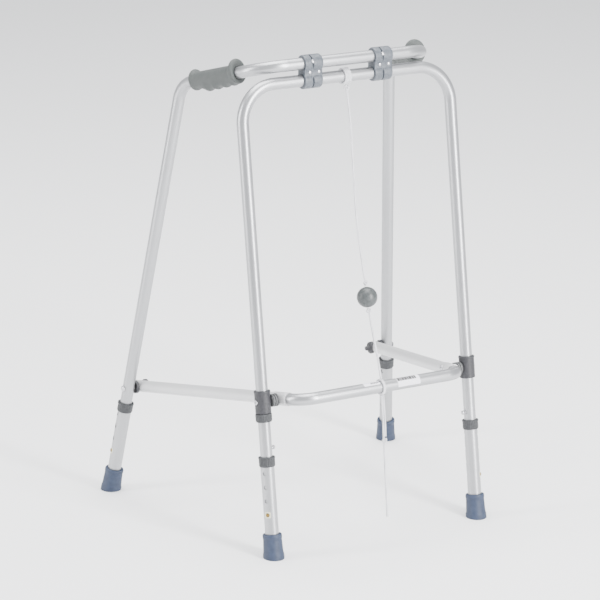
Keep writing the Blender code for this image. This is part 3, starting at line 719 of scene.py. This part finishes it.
TAIL_ROUTE = [
    (-0.002, BOW_Y - 0.0015, BOW_Z - 0.0158), (-0.001, BOW_Y - 0.0040, 0.255),
    (0.000, BOW_Y - 0.0070, 0.225), (0.001, BOW_Y - 0.0090, 0.195),
    (0.003, BOW_Y - 0.0120, 0.150), (0.005, BOW_Y - 0.0150, 0.100),
    (0.008, BOW_Y - 0.0180, 0.045)]
SECOND_STRAND = [
    (0.002, BOW_Y - 0.0015, BOW_Z - 0.0158), (0.0030, BOW_Y - 0.0040, 0.255),
    (0.0040, BOW_Y - 0.0070, 0.225), (0.0044, BOW_Y - 0.0090, 0.199)]


def cord_facts(piece, route, path, far_end, **extra):
    """States one run of the pull cord: as long as its path, limp, and hanging."""
    length = sum((b - a).length for a, b in zip(path, path[1:]))
    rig.cord(piece, exit=route[0], length=length, diameter=2 * CORD_R, far_end=far_end,
            stiffness="limp", lay="hanging", path=path, **extra)


def cord_tube(name, route):
    """A mesh tube of cord along a route, and the points it follows."""
    points = smooth_route(route, CORD_R * 2)
    return make(name, sweep(points, [CORD_R] * len(points), sides=16), CORD), points


def knot(name, centre, size):
    """An overhand knot: an upright trefoil of cord."""
    place = along(UP, centre)
    points = []
    count = 72
    for i in range(count + 1):
        t = 2 * math.pi * i / count
        flat = Vector((math.sin(t) + 2 * math.sin(2 * t), math.cos(t) - 2 * math.cos(2 * t), 0)) * 0.33
        points.append(place @ ((flat + Vector((0, 0, -0.75 * math.sin(3 * t)))) * size))
    return make(name, sweep(points, [CORD_R * 0.8] * len(points), sides=12), CORD)


def wraps(name, centre, turns, spread):
    """Cord wound round a tube that runs along X."""
    radius = TUBE_R + CORD_R
    points = []
    steps = 28
    count = round(turns * steps)
    for i in range(count + 1):
        t = 2 * math.pi * i / steps - math.pi / 2
        points.append(centre + Vector(((i / count - 0.5) * spread, radius * math.cos(t),
                                       radius * math.sin(t))))
    return make(name, sweep(points, [CORD_R] * len(points), sides=14), CORD)


def pull_cord():
    """The cord's runs, each with its knots: bar to ball, ball to bow, and the doubled tail."""
    bar = Vector((CORD_X, BAR_Y, BAR_Z))
    stand_for(wraps("tie_wraps", bar, 4.5, 0.0150), "cord_tie")
    bow = Vector((CORD_X, BOW_Y, BOW_Z))
    stand_for(wraps("hitch_wraps", bow, 2, 0.0042), "cord_hitch")

    upper, path = cord_tube("cord_upper_run", UPPER_ROUTE)
    stand_for(upper, "cord_upper")
    tie_knot = knot("tie_knot", Vector(UPPER_ROUTE[0]) + Vector((0, -0.0005, -0.003)), 0.0042)
    top_knot = knot("ball_top_knot", BALL_CENTRE + Vector((0.0, 0.0066, 0.0262)), 0.0034)
    for piece in (tie_knot, top_knot):
        attach(piece, "rear_frame", "cord_braid")
    cord_facts(upper, UPPER_ROUTE, path, "object", with_pieces=[tie_knot, top_knot, ball()])

    lower, path = cord_tube("cord_lower_run", LOWER_ROUTE)
    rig.replaces(lower, "cord_lower")
    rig.slot(lower, "cord_braid")
    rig.blend(lower, "rear_frame", "spreader", start=LOWER_ROUTE[0], end=LOWER_ROUTE[-1])
    bottom_knot = knot("ball_bottom_knot", BALL_CENTRE + Vector((0.0, -0.0060, -0.0240)), 0.0034)
    attach(bottom_knot, "rear_frame", "cord_braid")
    cord_facts(lower, LOWER_ROUTE, path, "object", with_pieces=[bottom_knot])

    tail, path = cord_tube("cord_tail_run", TAIL_ROUTE)
    stand_for(tail, "cord_tail")
    tail_knot = knot("tail_knot", Vector((0.0022, BOW_Y - 0.0092, 0.192)), 0.0038)
    attach(tail_knot, "cord_end", "cord_braid")
    cord_facts(tail, TAIL_ROUTE, path, "bare", with_pieces=[tail_knot])
    strand, path = cord_tube("cord_second_strand", SECOND_STRAND)
    attach(strand, "cord_end", "cord_braid")
    cord_facts(strand, SECOND_STRAND, path, "knot")


def ball():
    """The pull: a ball with a shallow seam round it and a dimple at each hole."""
    steps = 48
    profile = []
    for i in range(steps + 1):
        t = math.pi * i / steps
        seam = 0.00018 * math.exp(-((t - math.pi / 2) / 0.035) ** 2)
        dimple = 0.0016 * (math.exp(-(t / 0.16) ** 2) + math.exp(-((math.pi - t) / 0.16) ** 2))
        radius = BALL_R - seam - dimple
        profile.append((abs(radius * math.sin(t)) if 0 < i < steps else 0, -radius * math.cos(t)))
    obj = make("pull_ball", turned(profile, 64, Matrix.Translation(BALL_CENTRE)), BALL)
    return stand_for(obj, "cord_ball")


# ---- frames, grips and clips -----------------------------
def tube_end(end):
    """Where the frame's tube stops inside the right lower leg."""
    foot, direction = leg_line(end, 1)
    return foot + direction * UPPER_TUBE_END


def frame_tubes():
    front = mirrored([tube_end("front"), Vector((FRONT_HALF, BAR_Y, BAR_Z))])
    rear = mirrored([tube_end("rear"), HANDLE_REAR, Vector((HANDLE_FRONT_HALF, BAR_Y, UPPER_BAR_Z))])
    bends = [HANDLE_REAR_BEND_R, HANDLE_FRONT_BEND_R, HANDLE_FRONT_BEND_R, HANDLE_REAR_BEND_R]
    for node, corners, radii in (("front_frame_tube", front, [FRONT_BEND_R] * 2),
                                 ("rear_frame_tube", rear, bends)):
        points = rounded_path(corners, radii)
        bm = sweep(points, [TUBE_R] * len(points), [TUBE_R - TUBE_WALL] * len(points))
        stand_for(make(node + "_drawn", bm, TUBE), node)


def grip_radius(u, t):
    """Outer radius of a grip at u along it (0 front, 1 rear), t round it (0 underneath)."""
    under = max(0.0, math.cos(t)) ** 1.4
    above = max(0.0, -math.cos(t)) ** 1.4
    first_ridge, belly_end = 0.11, 0.79
    ridge = (0.5 + 0.5 * math.cos(2 * math.pi * (u - first_ridge) / FINGER_PITCH)) ** 1.6
    ridge_height = 0.0012 + 0.0026 * u
    belly = 1 / (1 + math.exp((u - belly_end) / 0.02))
    body = GRIP_R + under * belly * (GRIP_BELLY + ridge_height * ridge)
    radius = body
    for (below, more), middle, spread in ((FRONT_FLANGE, 0.035, 0.060), (REAR_FLANGE, 0.965, 0.045)):
        radius += (below + more * above - body) * math.exp(-((u - middle) / spread) ** 2)
    for inset in (u * GRIP_LENGTH, (1 - u) * GRIP_LENGTH):
        if inset < GRIP_EDGE:
            radius -= GRIP_EDGE_DEPTH * (1 - math.sqrt(1 - (1 - inset / GRIP_EDGE) ** 2))
    return radius


def grips():
    """Hand grips: flanges with rounded lips, and finger hollows between ridges underneath."""
    stations = 120
    around = 64
    for side, label in SIDE_NAMES:
        front = Vector((side * HANDLE_FRONT_HALF, BAR_Y, UPPER_BAR_Z))
        rear = Vector((side * HANDLE_REAR.x, HANDLE_REAR.y, HANDLE_REAR.z))
        direction = (rear - front).normalized()
        place = along(direction, front + direction * GRIP_START, -UP)
        bm = bmesh.new()
        rings, heights = [], []
        stops = [0.5 - 0.5 * math.cos(math.pi * i / stations) for i in range(stations + 1)]
        turns = [2 * math.pi * k / around for k in range(around)]
        for u in stops:
            spots = [Vector((math.cos(t), math.sin(t), 0)) * grip_radius(u, t) for t in turns]
            rings.append([bm.verts.new(place @ (spot + UP * (u * GRIP_LENGTH))) for spot in spots])
            heights.append(u)
        mouth = 0.0014
        for height, bore in ((GRIP_LENGTH, TUBE_R + 0.0016), (GRIP_LENGTH - mouth, TUBE_R + FIT),
                             (mouth, TUBE_R + FIT), (0.0, TUBE_R + 0.0016)):
            spots = [Vector((bore * math.cos(t), bore * math.sin(t), height)) for t in turns]
            rings.append([bm.verts.new(place @ spot) for spot in spots])
            heights.append(1.0)
        skin(bm, rings, heights, True)
        stand_for(make(f"grip_{label}_moulding", bm, GRIP, 50), f"grip_{label}")


def clip_outline(steps=40):
    """A shell's outer face, from the top seam round to the bottom seam, and its inner face.

    Points are (distance from the split plane, height, outward normal) and (distance, height).
    """
    waist = math.acos(CLIP_WEB / CLIP_R)
    turns = [math.pi / 2 - (math.pi / 2 + waist) * i / steps for i in range(steps + 1)]
    outer = [(CLIP_R * math.cos(t), UPPER_BAR_Z + CLIP_R * math.sin(t), math.cos(t), math.sin(t))
             for t in turns]
    outer += [(CLIP_R * math.cos(t), BAR_Z - CLIP_R * math.sin(t), math.cos(t), -math.sin(t))
              for t in reversed(turns)]
    inner = []
    bore = TUBE_R + GAP / 2
    bore_steps = 16
    for centre in (BAR_Z, UPPER_BAR_Z):
        for i in range(bore_steps + 1):
            t = math.radians(-90 + 180 * i / bore_steps)
            inner.append((bore * math.cos(t), centre + bore * math.sin(t)))
    return outer, inner


def clip_depth(across, v, banded):
    """How far a clip's face lies below its full size, for rounded ends and a gap between two bands.

    across is measured from the middle, and v goes from 0 at the top to 1 at the bottom. The gap
    fades out between the web's rivets.
    """
    depth = 0.0
    inset = CLIP_WIDTH / 2 - abs(across)
    if inset < CLIP_EASE:
        depth = CLIP_EASE_DEPTH * (1 - math.sqrt(max(0.0, 1 - (1 - inset / CLIP_EASE) ** 2)))
    if banded:
        off = abs(across)
        shown = 1 - math.exp(-((v - 0.5) / 0.07) ** 2)
        if off < GROOVE_HALF:
            depth = GROOVE_DEPTH * shown
        elif off < BAND_LIP:
            share = (BAND_LIP - off) / (BAND_LIP - GROOVE_HALF)
            depth = BAND_LIP_DEPTH * shown * (1 - math.sqrt(max(0.0, 1 - share ** 2)))
    return depth


def clip_columns():
    """Places across a clip where its outline is drawn: close together at the ends and the gap."""
    half = CLIP_WIDTH / 2
    places = [0.0, GROOVE_HALF * 0.97, GROOVE_HALF * 1.01, BAND_LIP]
    places += [GROOVE_HALF + (BAND_LIP - GROOVE_HALF) * share for share in (0.15, 0.35, 0.65)]
    places += [half - CLIP_EASE * share for share in (0.0, 0.05, 0.18, 0.4, 0.7, 1.0)]
    places += [0.0065, 0.0100, 0.0135]
    places.sort()
    return [-place for place in places[:0:-1]] + places


def clips():
    """Hinge clips: a front and a back shell each, the front one moulded as two bands.

    The gap between the bands leans: it is off the middle at the top, and close to it at the bottom.
    """
    outer, inner = clip_outline()
    columns = clip_columns()
    for label, middle in CLIP_MIDDLES.items():
        for face, shell in ((-1, "front"), (1, "back")):
            banded = face < 0
            bm = bmesh.new()
            rings, heights = [], []
            for across in columns:
                ring = []
                hold = (1 - abs(2 * across / CLIP_WIDTH)) ** 0.6
                for i, (y, z, ny, nz) in enumerate(outer):
                    v = i / (len(outer) - 1)
                    lean = GAP_LEAN * (1 + math.cos(math.pi * v)) if banded else 0.0
                    depth = clip_depth(across, v, banded)
                    out = face * max(GAP / 2, y - depth * ny)
                    spot = (middle + across + lean * hold, BAR_Y + out, z - depth * nz)
                    ring.append(bm.verts.new(spot))
                for y, z in inner:
                    ring.append(bm.verts.new((middle + across, BAR_Y + face * max(GAP / 2, y), z)))
                rings.append(ring)
                heights.append(across / CLIP_WIDTH)
            skin(bm, rings, heights, False)
            bm.faces.new(rings[0])
            bm.faces.new(rings[-1])
            stand_for(make(f"clip_{shell}_{label}_moulding", bm, CLIP, 48), f"clip_{shell}_{label}")
        clip_rivets(label, middle)


def clip_rivets(label, middle):
    """Two domed rivets through a clip's web, and one into the upper bar."""
    for i, offset in enumerate(WEB_RIVETS):
        head = CLIP_WEB + FIT
        front_head = dome(CLIP_HEAD_R, CLIP_HEAD_H, head)
        profile = [(radius, -height) for radius, height in front_head[::-1]]
        profile += [(CLIP_HEAD_R, -head), (CLIP_SHANK_R, -head), (CLIP_SHANK_R, head),
                    (CLIP_HEAD_R, head)]
        profile += front_head
        place = along((0, -1, 0), Vector((middle + offset, BAR_Y, WEB_RIVET_Z)))
        fitting(f"clip_web_rivet_{label}_{i + 1}", "set", profile, place, STEEL)
    head = CLIP_R + FIT
    profile = [(0, CLIP_SHANK_END), (CLIP_SHANK_R, CLIP_SHANK_END), (CLIP_SHANK_R, head),
               (CLIP_HEAD_R, head)]
    profile += dome(CLIP_HEAD_R, CLIP_HEAD_H, head)
    facing = Vector((0, -math.cos(TUBE_RIVET_TILT), math.sin(TUBE_RIVET_TILT)))
    place = along(facing, Vector((middle + TUBE_RIVET, BAR_Y, UPPER_BAR_Z)))
    fitting(f"clip_tube_rivet_{label}", "set", profile, place, STEEL)


# ---- legs ------------------------------------------------
def legs():
    for end in ("front", "rear"):
        for side, label in SIDE_NAMES:
            leg = f"{end}_{label}"
            place = leg_frame(end, side)
            lower_leg(leg, end, side, place)
            collar(leg, EXT_TOP[end], place)
            ferrule(leg, place)
            snap_button(leg, end, side)
            sticker(leg, end, side)
            if end == "front":
                sleeve(side, label, place)
                stop_rivet(side, label, place)


def lower_leg(leg, end, side, place):
    """A telescopic leg: short rows of faces keep its shading even round the holes."""
    top = EXT_TOP[end]
    rows = 48
    reach = EXT_R * 2
    outer = [(EXT_R, EXT_END + (top - EXT_END) * i / rows) for i in range(rows + 1)]
    profile = [(EXT_BORE_R, EXT_END)] + outer + [(EXT_BORE_R, top)]
    tube = make(f"leg_extension_{leg}_drawn", turned(profile, SIDES, place), TUBE)
    holes = bmesh.new()
    for i in range(HOLE_COUNT):
        across = cross_leg(end, side, BUTTON_AT + HOLE_PITCH * i)
        turned([(0, -reach), (HOLE_R, -reach), (HOLE_R, reach), (0, reach)], 24, across, holes)
    drill(tube, holes)
    stand_for(tube, f"leg_extension_{leg}")


def collar(leg, seat, place):
    """A bush with a flared rim at the top and a chamfer under its ribbed skirt."""
    bottom, top = seat - 0.0125, seat + 0.0060
    skirt, lip = EXT_R + FIT, TUBE_R + FIT
    outside = [(skirt, bottom), (0.0139, bottom), (0.0148, bottom + 0.0022), (0.0148, top - 0.0040),
               (0.0154, top - 0.0034), (0.0154, top - 0.0008), (0.0142, top), (0.0122, top - 0.0004),
               (lip, top - 0.0016)]
    profile = eased(outside, 0.0005) + [(lip, seat + GAP), (skirt, seat + GAP)]
    fitting(f"collar_{leg}", "moulding", profile, place, RIBBED, SIDES)


def ferrule(leg, place):
    """Tapered rubber foot with faint rings, a rolled rim and a sole cut flat on the floor."""
    rings = []
    count = 9
    ring_pitch, ring_depth = 0.0024, 0.00022
    for i in range(count):
        height = 0.0125 + ring_pitch * i
        radius = 0.0183 - 0.0010 * i / count
        rings += [(radius, height), (radius - ring_depth, height + 0.0010),
                  (radius - 0.0001, height + 0.0022)]
    sole = [(0, -0.008), (0.0195, -0.008), (0.0195, 0.0030), (0.0193, 0.0075), (0.0184, 0.0105)]
    rim = [(0.0172, 0.0365), (0.0178, 0.0378), (0.0178, 0.0420), (0.0170, 0.0440), (0.0150, 0.0448)]
    socket = [(EXT_R + FIT, 0.0440), (EXT_R + FIT, EXT_END - GAP), (0, EXT_END - GAP)]
    profile = sole + rings + rim + socket
    foot = make(f"ferrule_{leg}_moulding", turned(profile, SIDES, place), RUBBER)
    below = bmesh.new()
    centre = place.translation
    block = 0.08
    under_floor = Matrix.Translation((centre.x, centre.y, -block / 2))
    bmesh.ops.create_cube(below, size=block, matrix=under_floor)
    drill(foot, below)
    stand_for(foot, f"ferrule_{leg}")


def snap_button(leg, end, side):
    """A domed brass button with a shoulder that keeps it inside the tube."""
    radius = HOLE_R - 0.0004
    face = EXT_R + 0.0003
    shoulder_r, tail, shoulder = 0.0050, 0.0062, 0.0076
    profile = [(0, tail), (shoulder_r, tail), (shoulder_r, shoulder), (radius, shoulder),
               (radius, face)]
    profile += dome(radius, 0.0015, face)
    fitting(f"snap_button_{leg}", "brass", profile, cross_leg(end, side, BUTTON_AT), BRASS)


def sticker(leg, end, side):
    """A small pale patch round the button's hole, bent to the leg."""
    half_width, half_height = 0.0062, 0.0058
    inner = HOLE_R + 0.0002
    squareness = 5
    place = leg_frame(end, side, BUTTON_AT)
    bm = bmesh.new()
    count = 48
    layers = []
    for radius in (EXT_R + 0.00002, EXT_R + 0.00016):
        edges = []
        for share in (0.0, 0.5, 1.0):
            ring = []
            for i in range(count):
                t = 2 * math.pi * i / count
                c, s = math.cos(t), math.sin(t)
                edge = abs(c / half_width) ** squareness + abs(s / half_height) ** squareness
                size = inner + (edge ** (-1 / squareness) - inner) * share
                around = size * c / EXT_R
                spot = Vector((radius * math.cos(around), radius * math.sin(around), size * s))
                ring.append(bm.verts.new(place @ spot))
            edges.append(ring)
        layers.append(edges)
    inside, outside = layers
    skin(bm, inside + outside[::-1], [0, 1, 2, 3, 4, 5], True)
    attach(make(f"sticker_{leg}", bm, STICKER), f"lower_leg_{leg}", "anodised_tube")


def sleeve(side, label, place):
    """Sliding sleeve with lips, its sunk screw, and on the left the ring it stands on."""
    low, high = SLEEVE_AT - SLEEVE_LENGTH / 2, SLEEVE_AT + SLEEVE_LENGTH / 2
    bore = TUBE_R + FIT
    profile = [(bore, low), (SLEEVE_R - 0.0006, low), (SLEEVE_R, low + 0.0008),
               (SLEEVE_R, high - 0.0040), (SLEEVE_R + 0.0006, high - 0.0034),
               (SLEEVE_R + 0.0006, high - 0.0008), (SLEEVE_R - 0.0004, high), (bore, high)]
    body = make(f"sleeve_{label}_moulding", turned(eased(profile, 0.0005), SIDES, place), BUSH)
    centre = place @ Vector((0, 0, SLEEVE_AT))
    drill(body, pin(centre, (side, 0, 0), SLEEVE_R - 0.0012, SLEEVE_R + 0.01, 0.0054))
    stand_for(body, f"sleeve_{label}")
    base = SLEEVE_R - 0.0010
    profile = [(0, base), (0.0046, base), (0.0046, base + 0.0012), (0.0040, base + 0.0020),
               (0.0021, base + 0.0022), (0.0021, base + 0.0004), (0, base + 0.0004)]
    fitting(f"sleeve_screw_{label}", "turned", profile, along((side, 0, 0), centre), STEEL)
    if label == "left":
        top = low - GAP
        bottom = top - STOP_RING_LENGTH
        profile = [(bore, bottom), (0.0138, bottom), (0.0150, bottom + 0.0022), (0.0152, top - 0.0050),
                   (0.0152, top - 0.0010), (0.0142, top), (bore, top)]
        fitting("stop_ring_left", "moulding", eased(profile, 0.0005), place, RIBBED, SIDES)


def stop_rivet(side, label, place):
    """A rivet that stands out of the leg's inner side: flange, shank and domed head."""
    centre = place @ Vector((0, 0, STOP_RIVET_AT))
    base = TUBE_R + FIT
    profile = [(0, base), (0.0044, base), (0.0044, base + 0.0009), (0.0023, base + 0.0013),
               (0.0023, base + 0.0034), (0.0040, base + 0.0038), (0.0040, base + 0.0044)]
    profile += dome(0.0040, 0.0030, base + 0.0044)
    fitting(f"stop_rivet_{label}", "set", profile, along((-side, 0, 0), centre), STEEL)


# ---- spreader --------------------------------------------
def spreader():
    """The braces with their fittings, and the bow that joins them in front."""
    for side, label in SIDE_NAMES:
        front, rear, direction = brace_axis(side)
        brace_tube(side, label, front, rear, direction)
        brace_rivet(side, label, front + direction * RIVET_AT)
        rear_pivot(side, label, rear)
        front_hub(side, label, front, direction)
    front, _, direction = brace_axis(1)
    points = rounded_path(mirrored([front + direction * BOW_OVERLAP, bow_corner()]), [BOW_BEND_R] * 2)
    bm = sweep(points, [TUBE_R] * len(points), [TUBE_R - TUBE_WALL] * len(points))
    bow = make("bow_tube_drawn", bm, TUBE)
    holes = bmesh.new()
    for side, _ in SIDE_NAMES:
        front, _, direction = brace_axis(side)
        pin(front + direction * RIVET_AT, rivet_facing(side), 0.0, 0.03, RIVET_HOLE_R + 0.0004, holes)
    drill(bow, holes)
    stand_for(bow, "bow_tube")


def brace_tube(side, label, front, rear, direction):
    """A brace: a wider socket round the bow's end, a short taper, then plain tube past the pivot."""
    taper = 0.006
    step = 0.0008
    pivot = (rear - front).length
    socket = [0, step, RIVET_AT - 0.006, RIVET_AT + 0.006, SOCKET_LENGTH - taper]
    plain = [SOCKET_LENGTH, pivot / 2, pivot - 0.008, pivot - 0.003, pivot + 0.003, pivot + BRACE_TAIL]
    points = [front + direction * s for s in socket + plain]
    outer = [SOCKET_R - 0.0004] + [SOCKET_R] * (len(socket) - 1) + [TUBE_R] * len(plain)
    inner = [TUBE_R + 0.0002] * len(socket) + [TUBE_R - TUBE_WALL] * len(plain)
    brace = make(f"brace_tube_{label}_blasted", sweep(points, outer, inner), BRACE)
    holes = pin(rear, (side, 0, 0), -0.03, 0.03, BOLT_R + GAP)
    pin(front + direction * RIVET_AT, rivet_facing(side), 0.0, 0.03, RIVET_HOLE_R, holes)
    drill(brace, holes)
    stand_for(brace, f"brace_tube_{label}")


def brace_rivet(side, label, centre):
    """A rivet with a raised rim round a dished middle."""
    base = SOCKET_R + 0.0002
    profile = [(0, 0.0100), (0.0024, 0.0100), (0.0024, base), (0.0052, base), (0.0050, base + 0.0014),
               (0.0040, base + 0.0024), (0.0026, base + 0.0024), (0.0022, base + 0.0010),
               (0, base + 0.0008)]
    fitting(f"brace_rivet_{label}", "set", profile, along(rivet_facing(side), centre), STEEL)


def rear_pivot(side, label, pivot):
    """Saddle washer between leg and brace, the bolt through both, and its flanged cap nut."""
    foot, direction = leg_line("rear", side)
    leg = foot + direction * (PIVOT_Z / direction.z)
    spacing = abs(leg.x) - BRACE_PIVOT.x
    _, _, brace_direction = brace_axis(side)
    out = along((side, 0, 0), pivot)
    bore = BOLT_R + GAP
    low, high = TUBE_R - 0.003, spacing - TUBE_R - 0.0010
    profile = [(bore, low), (PIVOT_FLANGE_R, low), (PIVOT_FLANGE_R, high), (bore, high)]
    saddle = make(f"rear_saddle_{label}_moulding", turned(eased(profile, 0.0006), SIDES, out), BUSH)
    drill(saddle, pin(pivot, brace_direction, -0.04, 0.04, TUBE_R + 2 * FIT))
    stand_for(saddle, f"rear_saddle_{label}")

    head = spacing + TUBE_R + 0.0004
    tail = -TUBE_R - 0.0070
    head_r, rim = 0.0056, 0.0010
    profile = [(0, tail), (BOLT_R, tail), (BOLT_R, head), (head_r, head), (head_r, head + rim)]
    profile += dome(head_r, 0.0026, head + rim)
    fitting(f"pivot_bolt_{label}", "headed", profile, out, STEEL)

    seat = TUBE_R
    outside = [(bore, seat - 0.003), (NUT_FLANGE_R, seat - 0.003), (NUT_FLANGE_R, seat + 0.0026),
               (0.0100, seat + 0.0038), (0.0048, seat + 0.0046), (0.0045, seat + 0.0115),
               (0.0028, seat + 0.0130), (0, seat + 0.0132)]
    profile = [(0, seat + 0.0080), (bore, seat + 0.0080)] + eased(outside, 0.0006)
    inwards = along((-side, 0, 0), pivot)
    nut = make(f"pivot_nut_{label}_moulding", turned(profile, SIDES, inwards), BUSH)
    drill(nut, pin(pivot, brace_direction, -0.04, 0.04, TUBE_R + 2 * FIT))
    stand_for(nut, f"pivot_nut_{label}")


def front_hub(side, label, front, direction):
    """Ribbed bush between a brace and its sleeve, on the axis the brace turns about."""
    foot, up = leg_line("front", side)
    centre = foot + up * SLEEVE_AT
    on_brace = front + direction * ((centre.y - front.y) / direction.y)
    near = abs(centre.x) - SLEEVE_R - 0.0004
    far = abs(on_brace.x) + SOCKET_R - 0.003
    chamfer = 0.0012
    profile = [(0, far), (0.0104, far), (HUB_R, far + chamfer)]
    ribs = 3
    pitch = (near - far - chamfer) / ribs
    for i in range(ribs):
        start = far + chamfer + pitch * i
        profile += [(HUB_R, start + pitch * 0.45), (HUB_WAIST_R, start + pitch * 0.55),
                    (HUB_WAIST_R, start + pitch * 0.85), (HUB_R - 0.0002, start + pitch * 0.97)]
    profile += [(0.0108, near), (0, near)]
    place = along((side, 0, 0), Vector((0, centre.y, on_brace.z)))
    hub = make(f"front_hub_{label}_moulding", turned(profile, SIDES, place), HUB)
    drill(hub, pin(front, direction, -0.02, 0.08, SOCKET_R + 2 * FIT))
    stand_for(hub, f"front_hub_{label}")


# ---- labels on the bow -----------------------------------
PAPER_LIFT = 0.00010
INK_LIFT = 0.00018


def patch(name, x_range, tilt_range, lift, mat):
    """A thin patch bent round the bow: X limits, and angles above straight ahead in degrees."""
    bm = bmesh.new()
    steps = 16
    layers = []
    for radius in (TUBE_R + 0.00002, TUBE_R + lift):
        rows = []
        for x in x_range:
            row = []
            for i in range(steps + 1):
                t = math.radians(tilt_range[0] + (tilt_range[1] - tilt_range[0]) * i / steps)
                spot = (x, BOW_Y - radius * math.cos(t), BOW_Z + radius * math.sin(t))
                row.append(bm.verts.new(spot))
            rows.append(row)
        layers.append(rows)
    (a, b), (c, d) = layers
    for low, high in ((a, b), (b, d), (d, c), (c, a)):
        for i in range(steps):
            bm.faces.new([low[i], low[i + 1], high[i + 1], high[i]])
    bm.faces.new([a[0], b[0], d[0], c[0]])
    bm.faces.new([a[-1], b[-1], d[-1], c[-1]])
    attach(make(name, bm, mat), "spreader", "anodised_tube")


def labels():
    """Two printed labels, with plain bars where a real one has its text."""
    patch("label_paper", (0.0285, 0.0765), (-12, 100), PAPER_LIFT, PAPER)
    bar_ends = [0.0295, 0.0345, 0.0351, 0.0380, 0.0387, 0.0440, 0.0446, 0.0500, 0.0507, 0.0535,
                0.0541, 0.0600, 0.0607, 0.0650, 0.0656, 0.0692]
    for i, (start, end) in enumerate(zip(bar_ends[::2], bar_ends[1::2])):
        patch(f"label_bar_{i + 1}", (start, end), (46, 92), INK_LIFT, INK)
    patch("small_label_paper", (-0.0420, -0.0090), (48, 110), PAPER_LIFT, PAPER)
    bar_pitch, bar_width = 0.0035, 0.0022
    for i in range(5):
        start = -0.0270 + bar_pitch * i
        patch(f"small_label_bar_{i + 1}", (start, start + bar_width), (62, 88), INK_LIFT, INK)


# ---- the parts that keep their CAD shape -----------------
def carried_over():
    """The hidden button springs keep their CAD mesh and take the steel's finish."""
    for node, obj in frame["nodes"].items():
        if node.startswith("button_spring"):
            for slot in obj.material_slots:
                slot.material = STEEL


# ---- studio ----------------------------------------------
FLOOR_HALF = 30.0
WORLD_COLOUR = (0.95, 0.97, 1.0, 1.0)
WORLD_STRENGTH = 1.2
LIGHT_TARGET = Vector((0, -0.3, 0.5))
STUDIO_LIGHTS = (  # name, place, width, height, power
    ("key", (0.9, -3.4, 1.6), 0.8, 2.8, 330),
    ("side", (-3.6, 0.9, 1.6), 0.8, 2.8, 150),
    ("overhead", (0.2, 0.4, 4.4), 3.6, 3.6, 420),
)


def studio():
    """A pale floor, an even sky, two tall softboxes that draw the tubes' streaks, and one overhead."""
    bm = bmesh.new()
    bmesh.ops.create_grid(bm, x_segments=2, y_segments=2, size=FLOOR_HALF)
    surface = Surface("pale floor", 0.0, 0.85)
    cloudiness = surface.noise((0.6, 0.6, 0.6), 2.0)
    surface.colour(cloudiness, [(0.3, (0.86, 0.86, 0.865)), (0.7, (0.88, 0.88, 0.885))])
    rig.stage(make("floor", bm, surface.material))
    world = bpy.data.worlds.new("studio")
    world.use_nodes = True
    background = world.node_tree.nodes["Background"]
    background.inputs["Color"].default_value = WORLD_COLOUR
    background.inputs["Strength"].default_value = WORLD_STRENGTH
    bpy.context.scene.world = world
    for name, place, width, height, power in STUDIO_LIGHTS:
        light = bpy.data.lights.new(name, "AREA")
        light.shape = "RECTANGLE"
        light.size = width
        light.size_y = height
        light.energy = power
        obj = bpy.data.objects.new(name, light)
        bpy.context.scene.collection.objects.link(obj)
        away = Vector(place) - LIGHT_TARGET
        obj.matrix_world = along(away, Vector(place), UP.cross(away))


camera()
pull_cord()
frame_tubes()
grips()
clips()
legs()
spreader()
labels()
carried_over()
studio()

bpy.context.view_layer.update()
SIZES = {"cad": [list(corner) for corner in CAD_BOX],
         "visual": [list(corner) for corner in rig.bounds()]}
with open("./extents.json", "w") as size_file:
    json.dump(SIZES, size_file)
